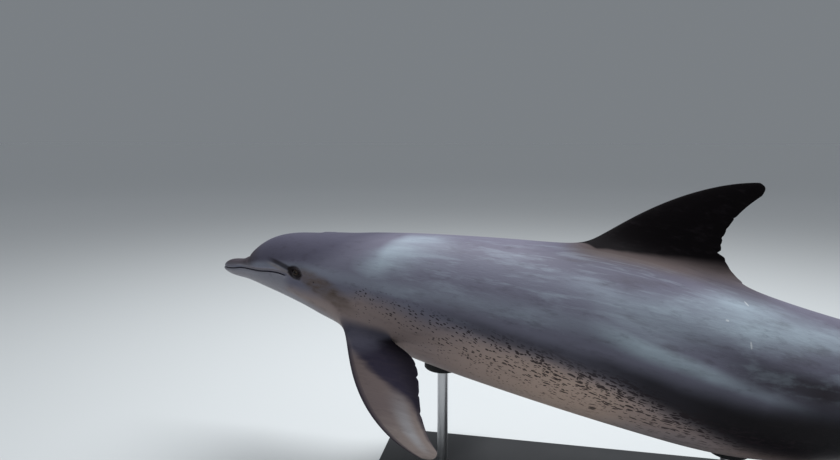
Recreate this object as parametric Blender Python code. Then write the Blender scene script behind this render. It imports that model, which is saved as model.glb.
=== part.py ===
"""A life-size museum model of an adult female bottlenose dolphin, gliding on a display stand.

The animal faces -X with its left side towards -Y. Its body is a cage of quads laid round named body lines,
rounded by subdivision, swung along its backbone and parted into head, jaw, chest, trunk, tail and fins by
thin cuts. The origin is the centre of the stand's underside, on the floor, with +Z up.
"""

import math

import bmesh
import bpy
import numpy as np
from mathutils import Matrix, Vector
from mathutils.bvhtree import BVHTree

# Driving dimensions, in metres and degrees.
LENGTH = 2.40  # from the tip of the upper jaw to the notch of the flukes
BODY_PLACE = Vector((-0.048, -0.024, 0.47))  # the backbone's middle over the stand
NOSE_UP = 10.4
BANK = 12.3  # the left side is turned up by this much
GAP = 0.0003  # width of the thin cuts, and the play where one piece rests on another

# Body lines, as (station, size) in shares of LENGTH. Stations run from the jaw tip, 0, to the notch, 1.
MIDDLE = 0.45
BACK_LINE = (
    (0.000, 0.0030), (0.012, 0.0078), (0.047, 0.0108), (0.062, 0.0245), (0.083, 0.0365), (0.110, 0.0432),
    (0.150, 0.0470), (0.200, 0.0540), (0.260, 0.0630), (0.320, 0.0705), (0.380, 0.0785), (0.450, 0.0850),
    (0.500, 0.0830), (0.600, 0.0730), (0.700, 0.0580), (0.800, 0.0450), (0.900, 0.0300), (0.955, 0.0160),
    (1.000, 0.0050),
)
BELLY_LINE = (
    (0.000, 0.0045), (0.012, 0.0110), (0.047, 0.0172), (0.080, 0.0245), (0.110, 0.0310), (0.150, 0.0405),
    (0.200, 0.0540), (0.260, 0.0655), (0.320, 0.0720), (0.400, 0.0770), (0.500, 0.0828), (0.600, 0.0885),
    (0.660, 0.0840), (0.700, 0.0775), (0.750, 0.0660), (0.800, 0.0535), (0.900, 0.0320), (0.955, 0.0160),
    (1.000, 0.0050),
)
SIDE_LINE = (
    (0.000, 0.0060), (0.012, 0.0125), (0.047, 0.0168), (0.062, 0.0212), (0.083, 0.0285), (0.110, 0.0355),
    (0.150, 0.0435), (0.200, 0.0530), (0.260, 0.0620), (0.320, 0.0690), (0.400, 0.0770), (0.450, 0.0810),
    (0.500, 0.0790), (0.600, 0.0680), (0.700, 0.0500), (0.800, 0.0315), (0.900, 0.0175), (0.955, 0.0120),
    (1.000, 0.0060),
)
BELT_LINE = (
    (0.00, -0.0010), (0.05, -0.0040), (0.15, -0.0060), (0.25, -0.0090), (0.45, -0.0040), (0.70, -0.0080),
    (0.90, -0.0010), (1.00, 0.0000),
)
RIDGE_LINE = (
    (0.00, 0.90), (0.05, 0.92), (0.15, 0.97), (0.45, 1.00), (0.60, 1.05), (0.75, 1.25), (0.88, 1.45),
    (0.95, 1.30), (1.00, 1.00),
)  # over 1 draws a section to a ridge above and below

# The pose: the heading of the backbone, in degrees, to the right and upwards along the stations.
SWING = (
    (0.00, -25.3), (0.15, -16.4), (0.30, -8.0), (0.45, 0.0), (0.60, 4.5), (0.70, 5.5), (0.85, 6.0),
    (1.00, 6.0),
)
LIFT = (
    (0.00, 12.2), (0.15, 4.9), (0.30, 0.8), (0.45, 0.0), (0.60, 2.0), (0.70, 4.6), (0.85, 9.0),
    (1.00, 11.0),
)
BACKBONE_REACH = 0.05  # how far its tables run on past both ends, in shares of LENGTH
BACKBONE_STEPS = 441

# The cage: half a ring runs from the back to the belly in HALF_RING steps, the left side first.
HALF_RING = 8
FLIPPER_CROWDING = (0.10, 0.05)  # how far the steps draw together at a blade's root, and how far along
DORSAL_CROWDING = (0.12, 0.12)
RING_SWELL = 6 / (4 + 2 * math.cos(math.pi / HALF_RING))  # makes up for what subdivision takes off a ring
HEAD_STATIONS = (0.0, 0.010, 0.034, 0.052, 0.067, 0.096, 0.135, 0.176)
CHEST_STATIONS = (0.318, 0.375)
TAIL_STATIONS = (0.670, 0.734, 0.800, 0.866)

# Each blade grows from a block of the skin: its first and last station, and its columns.
FLIPPER_ROOT = (0.214, 0.266, 3)
DORSAL_ROOT = (0.430, 0.612, 4)
FLUKE_ROOT = (0.925, 1.000, 3)
FLIPPER_STEPS = (5, 6, 7)  # the ring's steps along the upper edge, the middle and the lower edge of the block
FLUKE_STEPS = (3, 4, 5)
DORSAL_STEPS = (1, 0, -1)
BLADE_SPANS = (0.11, 0.34, 0.58, 0.80, 0.94, 1.0)
TIP_BOW = 0.42  # how far a blade's tip bows out, in shares of its last chord, so that it ends round
BLADE_CHORD = (0.05, 0.93)  # the first and the last column between the edges, in shares of the chord
THIN_EDGE = 0.0006  # least half thickness of a blade, in shares of LENGTH

# Outlines of the blades as cubic curves from root to tip: the leading edge, then the trailing edge.
DORSAL_LEAD = ((0.430, 0.0810), (0.470, 0.1260), (0.5265, 0.1725), (0.5945, 0.1802))
DORSAL_TRAIL = ((0.612, 0.0715), (0.550, 0.0880), (0.556, 0.1285), (0.5985, 0.1665))
DORSAL_THICKNESS = (0.115, 0.100)  # at the root and at the tip, in shares of the chord
FLUKE_LEAD = ((0.925, 0.012), (0.940, 0.052), (0.966, 0.090), (1.003, 0.121))
FLUKE_TRAIL = ((1.000, 0.012), (1.016, 0.036), (0.990, 0.088), (1.008, 0.123))
FLUKE_THICKNESS = (0.135, 0.085)
FLIPPER_LENGTH = 0.150
FLIPPER_LEAD = ((-0.11, -0.100), (0.34, -0.215), (0.78, -0.240), (1.050, -0.015))
FLIPPER_TRAIL = ((0.16, 0.060), (0.42, 0.500), (0.58, 0.020), (1.050, 0.080))
FLIPPER_THICKNESS = (0.200, 0.110)
LEFT_FLIPPER = (Vector((0.649, -0.615, -0.447)), 6.0)  # its way from root to tip, and its twist in degrees
RIGHT_FLIPPER = (Vector((0.620, 0.700, -0.350)), 6.0)

# Where the thin cuts go, and how far they reach to either side.
NECK_CUT, WAIST_CUT, LOIN_CUT, STOCK_CUT = 0.192, 0.395, 0.645, 0.810
CROSS_CUT_REACH = 0.13
MOUTH_PATH = (
    (-0.020, -0.0032), (0.030, -0.0044), (0.065, -0.0048), (0.100, -0.0058), (0.1325, -0.0078),
    (0.140, -0.0160), (0.147, -0.0900),
)  # along the lips to the gape, then down behind the jaw
MOUTH_CUT_REACH = 0.07
FIN_CUT_RISE = 0.006  # of the cut over the back
FIN_CUT_SPAN = (0.400, 0.640)
FIN_CUT_REACH = 0.02
FLIPPER_CUT_RISE = 0.007
FLIPPER_CUT_AFT = 0.003  # its middle lies this far behind the root's
FLIPPER_CUT_REACH = (0.034, 0.030)  # along the body and round it
FLUKE_CUT = 0.021  # from the middle of the tail
FLUKE_CUT_SPAN = (0.900, 1.030)
FLUKE_CUT_REACH = 0.03

EYE_PLACE = (0.1514, 85.5)  # station, and degrees from the back
EYE_RADIUS = 0.0175
EYE_DEPTH = 0.0135  # of its centre under the skin

# The stand.
BASE_LENGTH, BASE_WIDTH, BASE_HEIGHT = 1.16, 0.46, 0.032
BASE_CORNER, BASE_CORNER_STEPS = 0.06, 5
BASE_EDGE, BASE_EDGE_STEPS = 0.008, 2
ROD_STATIONS = {"front": 0.305, "rear": 0.600}
ROD_RADIUS = 0.014
FLANGE_RADIUS, FLANGE_HEIGHT = 0.045, 0.009
SADDLE_RADIUS, SADDLE_HEIGHT = 0.048, 0.030
SADDLE_DROP = 0.012  # of its foot under the skin over the middle of the rod
ROUND_SIDES = 24

EYE_COLOUR, EYE_ROUGHNESS = (0.020, 0.012, 0.010), 0.08
BASE_COLOUR, BASE_ROUGHNESS = (0.035, 0.035, 0.038), 0.45
STEEL_COLOUR, STEEL_ROUGHNESS = (0.60, 0.60, 0.60), 0.28
RUBBER_COLOUR, RUBBER_ROUGHNESS = (0.050, 0.050, 0.055), 0.50
SKIN_ROUGHNESS = 0.45
SOFT_EDGE = 35  # degrees: edges that turn by less are shaded smooth
SKIN_COLOURS = {
    "head": (0.30, 0.28, 0.33), "lower_jaw": (0.55, 0.55, 0.60), "chest": (0.33, 0.31, 0.37),
    "trunk": (0.30, 0.29, 0.35), "tail_stock": (0.26, 0.26, 0.32), "tail_end": (0.17, 0.17, 0.21),
    "dorsal_fin": (0.04, 0.035, 0.045),
    "flipper_left": (0.15, 0.13, 0.15), "flipper_right": (0.15, 0.13, 0.15),
    "fluke_left": (0.12, 0.11, 0.14), "fluke_right": (0.12, 0.11, 0.14),
}


def through(knots):
    """A smooth curve through (station, value) knots, as a function of the station."""
    at, value = np.array(knots, float).T
    steps = np.diff(value) / np.diff(at)
    slope = np.concatenate([steps[:1], (steps[1:] + steps[:-1]) / 2, steps[-1:]])

    def curve(s):
        i = np.clip(np.searchsorted(at, s) - 1, 0, len(at) - 2)
        width = at[i + 1] - at[i]
        t = (np.clip(s, at[0], at[-1]) - at[i]) / width
        start = (1 + 2 * t) * (1 - t) ** 2 * value[i] + t * (1 - t) ** 2 * width * slope[i]
        end = t * t * (3 - 2 * t) * value[i + 1] + t * t * (t - 1) * width * slope[i + 1]
        return start + end

    return curve


def bezier(points, t):
    """The point at t, 0 to 1, of a cubic curve with these four control points."""
    a, b, c, d = (np.array(p, float) for p in points)
    return (1 - t) ** 3 * a + 3 * t * (1 - t) ** 2 * b + 3 * t * t * (1 - t) * c + t**3 * d


back, belly, side, belt, ridge = map(through, (BACK_LINE, BELLY_LINE, SIDE_LINE, BELT_LINE, RIDGE_LINE))


def section_point(s, angle, swell=1.0):
    """A point of the straight skin. The angle, in radians, is 0 on the back, pi on the belly, and negative
    on the right side."""
    level = belt(s)
    rise = back(s) - level if math.cos(angle) > 0 else belly(s) + level
    out = side(s) * abs(math.sin(angle)) ** ridge(s)
    return np.array((s, -math.copysign(out * swell, math.sin(angle)), level + rise * swell * math.cos(angle)))


# The straight body.


class Cage:
    """The coarse quads of the straight animal, in shares of LENGTH."""

    def __init__(self):
        self.points = []
        self.faces = []

    def add(self, point):
        self.points.append(np.array(point, float))
        return len(self.points) - 1

    def strip(self, first, second):
        """Quads between two rows of as many points."""
        for (a, b), (c, d) in zip(zip(first, first[1:]), zip(second, second[1:])):
            self.faces.append((a, b, d, c))


def columns_of(root):
    return list(np.linspace(root[0], root[1], root[2] + 1))


def stations():
    """All the stations of the rings, with the root of each blade in even columns."""
    front = list(HEAD_STATIONS) + columns_of(FLIPPER_ROOT) + list(CHEST_STATIONS)
    return np.array(front + columns_of(DORSAL_ROOT) + list(TAIL_STATIONS) + columns_of(FLUKE_ROOT))


def near(s, middle, reach):
    """1 at a station and 0 far from it."""
    return math.exp(-(((s - middle) / reach) ** 2))


def ring_angle(s, step):
    """The steps are even, but draw together round the roots of the flippers and the dorsal fin."""
    angle = math.pi * step / HALF_RING
    flipper = FLIPPER_CROWDING[0] * near(s, sum(FLIPPER_ROOT[:2]) / 2, FLIPPER_CROWDING[1])
    dorsal = DORSAL_CROWDING[0] * near(s, sum(DORSAL_ROOT[:2]) / 2, DORSAL_CROWDING[1])
    return angle + flipper * math.sin(4 * angle) - dorsal * math.sin(2 * angle)


def body_rings(cage, along):
    rings = []
    for s in along:
        angles = [ring_angle(s, step) for step in range(HALF_RING + 1)]
        angles += [-a for a in angles[-2:0:-1]]
        rings.append([cage.add(section_point(s, a, RING_SWELL)) for a in angles])
    return rings


def cap(cage, ring):
    """Closes an end ring with a strip of quads from its left half to its right half."""
    half = len(ring) // 2
    left = ring[1:half]
    right = ring[:half:-1]
    cage.strip(left, right)
    cage.faces.append((ring[0], left[0], right[0]))
    cage.faces.append((ring[half], right[-1], left[-1]))


def first_column(along, root):
    return int(np.argmin(abs(along - root[0])))


def half_thickness(u):
    """Half the thickness at share u of a blade's chord, for a blade as thick as its chord: blunt in front and
    thin behind."""
    return 5 * (0.2969 * math.sqrt(u) - 0.1260 * u - 0.3516 * u**2 + 0.2843 * u**3 - 0.1036 * u**4)


def blade_ring(lead, trail, thickness, thin, columns, bow):
    """(span, chord, height) round one chord of a blade: the leading edge, the upper face from front to rear,
    the trailing edge and the lower face back. Its height is at least thin, and its middle is moved by bow."""
    chord = np.linalg.norm(trail - lead)
    upper = []
    for c in range(columns + 1):
        u = BLADE_CHORD[0] + (BLADE_CHORD[1] - BLADE_CHORD[0]) * c / columns
        span, across = lead + (trail - lead) * u + bow * math.sin(math.pi * u)
        upper.append((span, across, max(thickness * chord * half_thickness(u), thin)))
    lower = [(span, across, -height) for span, across, height in reversed(upper)]
    return [(*lead, 0.0)] + upper + [(*trail, 0.0)] + lower


def grow_blade(cage, rim, edges, thickness, thin, columns, place):
    """Joins a rim of skin points to the rings of a blade, one after another, and closes the bowed tip."""
    before = rim
    for t in BLADE_SPANS:
        lead, trail = bezier(edges[0], t), bezier(edges[1], t)
        bow = np.zeros(2)
        if t == BLADE_SPANS[-1]:
            way = lead + trail - bezier(edges[0], BLADE_SPANS[-2]) - bezier(edges[1], BLADE_SPANS[-2])
            bow = way / np.linalg.norm(way) * np.linalg.norm(trail - lead) * TIP_BOW
        thick = thickness[0] + (thickness[1] - thickness[0]) * t
        ring = [cage.add(place(*p)) for p in blade_ring(lead, trail, thick, thin, columns, bow)]
        cage.strip(before + before[:1], ring + ring[:1])
        before = ring
    cap(cage, before)


def rim_of(rings, along, root, steps):
    """The corners round a block of the skin, in the order of blade_ring."""
    start = first_column(along, root)
    end = start + root[2]
    upper, middle, lower = steps
    over = [rings[c][upper] for c in range(start, end + 1)]
    under = [rings[c][lower] for c in range(end, start - 1, -1)]
    return [rings[start][middle]] + over + [rings[end][middle]] + under


def on_side(steps, hand):
    return steps if hand < 0 else tuple(-step for step in steps)


def dorsal_fin(cage, along, rings):
    def place(x, z, height):
        return (x, -height, z)

    rim = rim_of(rings, along, DORSAL_ROOT, DORSAL_STEPS)
    grow_blade(cage, rim, (DORSAL_LEAD, DORSAL_TRAIL), DORSAL_THICKNESS, THIN_EDGE, DORSAL_ROOT[2], place)


def flipper_root(hand):
    """The middle of the block that a flipper grows from."""
    s = (FLIPPER_ROOT[0] + FLIPPER_ROOT[1]) / 2
    return Vector(section_point(s, -hand * ring_angle(s, FLIPPER_STEPS[1])))


def flipper_axes(hand):
    """The (span, chord, upper face) directions of a flipper."""
    way, twist = LEFT_FLIPPER if hand < 0 else RIGHT_FLIPPER
    span = way.normalized()
    chord = (Vector((1, 0, 0)) - span * span.x).normalized()
    face = chord.cross(span) * hand
    turn = Matrix.Rotation(math.radians(-twist) * hand, 3, span)
    return span, turn @ chord, turn @ face


def flippers(cage, along, rings):
    for hand in (-1, 1):
        root = flipper_root(hand)
        span_way, chord_way, face_way = flipper_axes(hand)

        def place(span, across, height):
            return root + FLIPPER_LENGTH * (span_way * span + chord_way * across + face_way * height)

        rim = rim_of(rings, along, FLIPPER_ROOT, on_side(FLIPPER_STEPS, hand))
        thin = THIN_EDGE / FLIPPER_LENGTH
        grow_blade(cage, rim, (FLIPPER_LEAD, FLIPPER_TRAIL), FLIPPER_THICKNESS, thin, FLIPPER_ROOT[2], place)


def flukes(cage, along, rings):
    for hand in (-1, 1):

        def place(x, across, height):
            return (x, hand * across, height)

        rim = rim_of(rings, along, FLUKE_ROOT, on_side(FLUKE_STEPS, hand))
        grow_blade(cage, rim, (FLUKE_LEAD, FLUKE_TRAIL), FLUKE_THICKNESS, THIN_EDGE, FLUKE_ROOT[2], place)


def blocks(along):
    """The (column, step) of each quad of the skin that gives way to a blade."""
    taken = set()
    roots = ((FLIPPER_ROOT, FLIPPER_STEPS), (FLUKE_ROOT, FLUKE_STEPS), (DORSAL_ROOT, DORSAL_STEPS))
    for root, steps in roots:
        start = first_column(along, root)
        for column in range(start, start + root[2]):
            for step in range(min(steps), max(steps)):
                taken.add((column, step % (2 * HALF_RING)))
                taken.add((column, (-1 - step) % (2 * HALF_RING)))
    return taken


def whole_cage():
    """The cage of the straight animal."""
    cage = Cage()
    along = stations()
    rings = body_rings(cage, along)
    taken = blocks(along)
    for column, (first, second) in enumerate(zip(rings, rings[1:])):
        for step in range(2 * HALF_RING):
            after = (step + 1) % (2 * HALF_RING)
            if (column, step) not in taken:
                cage.faces.append((first[step], first[after], second[after], second[step]))
    cap(cage, rings[0])
    cap(cage, rings[-1])
    dorsal_fin(cage, along, rings)
    flippers(cage, along, rings)
    flukes(cage, along, rings)
    return cage


# The pose.


def backbone():
    """Tables of the swung backbone: stations, places and headings, with MIDDLE at the origin."""
    s = np.linspace(-BACKBONE_REACH, 1 + BACKBONE_REACH, BACKBONE_STEPS)
    swing = np.radians(through(SWING)(s))
    lift = np.radians(through(LIFT)(s))
    way = np.stack([np.cos(swing) * np.cos(lift), np.sin(swing) * np.cos(lift), np.sin(lift)], 1)
    steps = (way[1:] + way[:-1]) / 2 * np.diff(s)[:, None]
    place = np.vstack([np.zeros(3), np.cumsum(steps, 0)])
    place -= np.array([np.interp(MIDDLE, s, place[:, k]) for k in range(3)])
    return s, place, swing, lift


BACKBONE = backbone()
STANCE = Matrix.Rotation(math.radians(NOSE_UP), 4, "Y") @ Matrix.Rotation(math.radians(-BANK), 4, "X")


def pose(points):
    """Straight points, in shares of LENGTH, as points of the swung body in metres."""
    points = np.asarray(points, float).reshape(-1, 3)
    s, place, swing, lift = BACKBONE
    at = np.stack([np.interp(points[:, 0], s, place[:, k]) for k in range(3)], 1)
    a = np.interp(points[:, 0], s, swing)
    b = np.interp(points[:, 0], s, lift)
    aft = np.stack([np.cos(a) * np.cos(b), np.sin(a) * np.cos(b), np.sin(b)], 1)
    across = np.stack([-np.sin(a), np.cos(a), 0 * a], 1)
    posed = at + points[:, 1:2] * across + points[:, 2:3] * np.cross(aft, across)
    return posed * LENGTH


# Making and cutting solids.


def mesh_of(name, points, faces):
    mesh = bpy.data.meshes.new(name)
    mesh.from_pydata([tuple(p) for p in points], [], faces)
    bm = bmesh.new()
    bm.from_mesh(mesh)
    bmesh.ops.delete(bm, geom=[v for v in bm.verts if not v.link_faces], context="VERTS")
    bmesh.ops.recalc_face_normals(bm, faces=bm.faces)
    bm.to_mesh(mesh)
    bm.free()
    return mesh


def add_object(name, mesh):
    made = bpy.data.objects.new(name, mesh)
    bpy.context.scene.collection.objects.link(made)
    return made


def baked(made):
    """The object's mesh with its modifiers applied. The object itself is removed."""
    bpy.context.view_layer.update()
    mesh = bpy.data.meshes.new_from_object(made.evaluated_get(bpy.context.evaluated_depsgraph_get()))
    mesh.transform(made.matrix_world)
    bpy.data.objects.remove(made)
    return mesh


def in_triangles(mesh):
    """The mesh in flat faces only, so that both sides of a cut keep the same faces."""
    bm = bmesh.new()
    bm.from_mesh(mesh)
    bmesh.ops.triangulate(bm, faces=bm.faces)
    bm.to_mesh(mesh)
    bm.free()
    return mesh


def less(name, mesh, cutter_mesh):
    """The mesh with the cutter taken out of it."""
    made = add_object(name, in_triangles(mesh))
    cutter = add_object(name + "_cutter", in_triangles(cutter_mesh))
    cut = made.modifiers.new("cut", "BOOLEAN")
    cut.object = cutter
    cut.solver = "MANIFOLD"  # EXACT loses the body at the mouth
    result = baked(made)
    bpy.data.objects.remove(cutter)
    return result


def joined(name, meshes):
    bm = bmesh.new()
    for mesh in meshes:
        bm.from_mesh(mesh)
    result = bpy.data.meshes.new(name)
    bm.to_mesh(result)
    bm.free()
    return result


def sheet(name, path, reach):
    """A sheet as thick as GAP round a path of straight-body points, as wide as reach to either side."""
    path = [Vector(p) for p in path]
    reach = Vector(reach)
    points = []
    for k, p in enumerate(path):
        way = path[min(k + 1, len(path) - 1)] - path[max(k - 1, 0)]
        lift = way.cross(reach).normalized() * GAP / 2 / LENGTH
        points += [p + reach + lift, p + reach - lift, p - reach - lift, p - reach + lift]
    faces = [(0, 1, 2, 3), tuple(range(len(points) - 4, len(points)))]
    for k in range(0, len(points) - 4, 4):
        for c in range(4):
            d = (c + 1) % 4
            faces.append((k + c, k + d, k + 4 + d, k + 4 + c))
    return mesh_of(name, pose(points), faces)


def ball(name, centre, radius, columns=14, rows=7):
    """A round solid with its poles to the left and the right."""
    bm = bmesh.new()
    bmesh.ops.create_uvsphere(bm, u_segments=columns, v_segments=rows, radius=radius)
    bmesh.ops.rotate(bm, verts=bm.verts, matrix=Matrix.Rotation(math.pi / 2, 3, "X"))
    bmesh.ops.translate(bm, verts=bm.verts, vec=centre)
    mesh = bpy.data.meshes.new(name)
    bm.to_mesh(mesh)
    bm.free()
    return mesh


def eye_centre(hand):
    s, degrees = EYE_PLACE
    angle = -hand * math.radians(degrees)
    skin = Vector(pose(section_point(s, angle))[0])
    inward = Vector(pose((s, 0.0, float(belt(s))))[0]) - skin
    return skin + inward.normalized() * EYE_DEPTH


def cross_cut(s):
    """A sheet right across the body at a station."""
    path = ((s, 0, -CROSS_CUT_REACH), (s, 0, CROSS_CUT_REACH))
    return sheet("cross_cut", path, (0, CROSS_CUT_REACH, 0))


def fin_cut():
    """A sheet that follows the back under the dorsal fin."""
    along = np.linspace(*FIN_CUT_SPAN, 7)
    return sheet("fin_cut", [(s, 0, back(s) + FIN_CUT_RISE) for s in along], (0, FIN_CUT_REACH, 0))


def way_round(s, angle):
    """The direction round the body at a point of the skin."""
    step = math.radians(1)
    return (Vector(section_point(s, angle + step)) - Vector(section_point(s, angle - step))).normalized()


def flipper_cut(hand):
    """A sheet close over the skin, across the root of a flipper."""
    root = flipper_root(hand)
    around = way_round(root.x, -hand * ring_angle(root.x, FLIPPER_STEPS[1]))
    aft = Vector((1, 0, 0))
    outward = around.cross(aft).normalized()
    if outward.y * hand < 0:
        outward = -outward
    middle = root + outward * FLIPPER_CUT_RISE + aft * FLIPPER_CUT_AFT
    ends = [middle + aft * FLIPPER_CUT_REACH[0] * side for side in (-1, 1)]
    return sheet("flipper_cut", ends, around * FLIPPER_CUT_REACH[1])


def fluke_cut(hand):
    path = [(s, hand * FLUKE_CUT, 0) for s in FLUKE_CUT_SPAN]
    return sheet("fluke_cut", path, (0, 0, FLUKE_CUT_REACH))


def cuts():
    """Every thin cut and both eye sockets, as one mesh."""
    meshes = [cross_cut(s) for s in (NECK_CUT, WAIST_CUT, LOIN_CUT, STOCK_CUT)]
    meshes.append(sheet("mouth_cut", [(s, 0, z) for s, z in MOUTH_PATH], (0, MOUTH_CUT_REACH, 0)))
    meshes.append(fin_cut())
    for hand in (-1, 1):
        meshes += [flipper_cut(hand), fluke_cut(hand)]
        meshes.append(ball("socket", eye_centre(hand), EYE_RADIUS + GAP))
    return joined("cuts", meshes)


def islands(mesh):
    """The loose solids of a mesh, each as (centre of its corners, points, faces)."""
    bm = bmesh.new()
    bm.from_mesh(mesh)
    left = set(bm.verts)
    found = []
    while left:
        grown = {left.pop()}
        edge = list(grown)
        while edge:
            fresh = {e.other_vert(v) for v in edge for e in v.link_edges} - grown
            grown |= fresh
            edge = list(fresh)
        left -= grown
        verts = sorted(grown, key=lambda v: v.index)
        number = {v: k for k, v in enumerate(verts)}
        faces = sorted({f for v in verts for f in v.link_faces}, key=lambda f: f.index)
        points = [v.co.copy() for v in verts]
        corners = [tuple(number[v] for v in f.verts) for f in faces]
        found.append((sum(points, Vector()) / len(points), points, corners))
    bm.free()
    return found


# Looks for the solids.


def finish(made, colour, roughness, metallic=0.0):
    """Gives the object a material of its own and smooth shading across its gentle edges."""
    material = bpy.data.materials.new(made.name)
    material.use_nodes = True
    shader = material.node_tree.nodes["Principled BSDF"]
    shader.inputs["Base Color"].default_value = (*colour, 1)
    shader.inputs["Roughness"].default_value = roughness
    shader.inputs["Metallic"].default_value = metallic
    made.data.materials.clear()
    made.data.materials.append(material)
    made.data.shade_smooth()
    made.data.set_sharp_from_angle(angle=math.radians(SOFT_EDGE))


# The animal.


def whole_body():
    """The rounded and swung body in one solid."""
    cage = whole_cage()
    made = add_object("whole_body", mesh_of("whole_body", cage.points, cage.faces))
    rounding = made.modifiers.new("rounding", "SUBSURF")
    rounding.levels = 1
    rounding.render_levels = 1
    mesh = baked(made)
    straight = np.array([v.co for v in mesh.vertices])
    for vertex, co in zip(mesh.vertices, pose(straight)):
        vertex.co = co
    return mesh


def seeds():
    """A point near the middle of each piece of the cut body, in the straight frame."""
    flip = {hand: flipper_root(hand) + flipper_axes(hand)[0] * FLIPPER_LENGTH / 2 for hand in (-1, 1)}
    return {
        "head": (0.105, 0, 0.015), "lower_jaw": (0.070, 0, -0.015), "chest": (0.280, 0, 0.0),
        "trunk": (0.520, 0, 0.0), "tail_stock": (0.725, 0, 0.0), "tail_end": (0.920, 0, 0.0),
        "dorsal_fin": (0.545, 0, 0.125), "flipper_left": flip[-1], "flipper_right": flip[1],
        "fluke_left": (0.985, -0.065, 0), "fluke_right": (0.985, 0.065, 0),
    }


def animal(body):
    """Parts the body and hangs the pieces and the eyes on an empty in the middle of the backbone."""
    stance = bpy.data.objects.new("dolphin", None)
    bpy.context.scene.collection.objects.link(stance)
    stance.location = BODY_PLACE
    stance.rotation_euler = STANCE.to_euler()
    pieces = islands(less("body", body, cuts()))
    for name, seed in seeds().items():
        spot = Vector(pose(seed)[0])
        nearest = min(pieces, key=lambda piece: (piece[0] - spot).length)
        pieces.remove(nearest)
        made = add_object(name, mesh_of(name, nearest[1], nearest[2]))
        made.parent = stance
        finish(made, SKIN_COLOURS[name], SKIN_ROUGHNESS)
    for hand, name in ((-1, "eye_left"), (1, "eye_right")):
        eye = add_object(name, ball(name, eye_centre(hand), EYE_RADIUS))
        eye.parent = stance
        finish(eye, EYE_COLOUR, EYE_ROUGHNESS)


# The stand.


def disc(name, centre, radius, height):
    """An upright round solid, standing on centre."""
    bm = bmesh.new()
    bmesh.ops.create_cone(
        bm, cap_ends=True, segments=ROUND_SIDES, radius1=radius, radius2=radius, depth=height)
    bmesh.ops.translate(bm, verts=bm.verts, vec=Vector(centre) + Vector((0, 0, height / 2)))
    mesh = bpy.data.meshes.new(name)
    bm.to_mesh(mesh)
    bm.free()
    return mesh


def base():
    """A flat board with round corners and a rounded upper edge."""
    bm = bmesh.new()
    bmesh.ops.create_cube(bm, size=1)
    bmesh.ops.scale(bm, verts=bm.verts, vec=(BASE_LENGTH, BASE_WIDTH, BASE_HEIGHT))
    bmesh.ops.translate(bm, verts=bm.verts, vec=(0, 0, BASE_HEIGHT / 2))
    upright = [e for e in bm.edges if abs(e.verts[0].co.z - e.verts[1].co.z) > BASE_HEIGHT / 2]
    bmesh.ops.bevel(
        bm, geom=upright, offset=BASE_CORNER, segments=BASE_CORNER_STEPS, affect="EDGES", profile=0.5)
    upper = [e for e in bm.edges if min(v.co.z for v in e.verts) > BASE_HEIGHT - 1e-6]
    bmesh.ops.bevel(bm, geom=upper, offset=BASE_EDGE, segments=BASE_EDGE_STEPS, affect="EDGES", profile=0.5)
    mesh = bpy.data.meshes.new("stand_base")
    bm.to_mesh(mesh)
    bm.free()
    made = add_object("stand_base", mesh)
    finish(made, BASE_COLOUR, BASE_ROUGHNESS)


def swollen(body):
    """The posed body in the world, grown by GAP on every side, to fit the saddles to."""
    mesh = body.copy()
    normals = [v.normal.copy() for v in mesh.vertices]
    for vertex, normal in zip(mesh.vertices, normals):
        vertex.co += normal * GAP
    mesh.transform(Matrix.Translation(BODY_PLACE) @ STANCE)
    return mesh


def lowest_skin(body, x, y):
    """The height of the underside of a mesh over a point of the floor."""
    bm = bmesh.new()
    bm.from_mesh(body)
    hit = BVHTree.FromBMesh(bm).ray_cast(Vector((x, y, 0)), Vector((0, 0, 1)))[0]
    bm.free()
    return hit.z


def stand(body):
    """A rod from the base to the belly at each of ROD_STATIONS, on a flange and under a saddle."""
    base()
    skin = swollen(body)
    world = Matrix.Translation(BODY_PLACE) @ STANCE
    for name, s in ROD_STATIONS.items():
        over = world @ Vector(pose((s, 0, 0))[0])
        top = lowest_skin(skin, over.x, over.y)
        foot = Vector((over.x, over.y, BASE_HEIGHT + GAP))
        flange = disc("flange", foot, FLANGE_RADIUS, FLANGE_HEIGHT)
        made = add_object("stand_flange_" + name, flange)
        finish(made, STEEL_COLOUR, STEEL_ROUGHNESS, 1.0)
        saddle_foot = top - SADDLE_DROP
        rod_foot = foot + Vector((0, 0, FLANGE_HEIGHT + GAP))
        rod = disc("rod", rod_foot, ROD_RADIUS, saddle_foot - GAP - rod_foot.z)
        made = add_object("stand_rod_" + name, rod)
        finish(made, STEEL_COLOUR, STEEL_ROUGHNESS, 1.0)
        saddle = disc("saddle", (over.x, over.y, saddle_foot), SADDLE_RADIUS, SADDLE_HEIGHT)
        made = add_object("stand_saddle_" + name, less("saddle", saddle, skin.copy()))
        finish(made, RUBBER_COLOUR, RUBBER_ROUGHNESS)


for old in list(bpy.data.objects):
    bpy.data.objects.remove(old)

whole = whole_body()
stand(whole)
animal(whole)
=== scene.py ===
import math

import bmesh
import bpy
import numpy as np
from mathutils import Matrix, Vector


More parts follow.
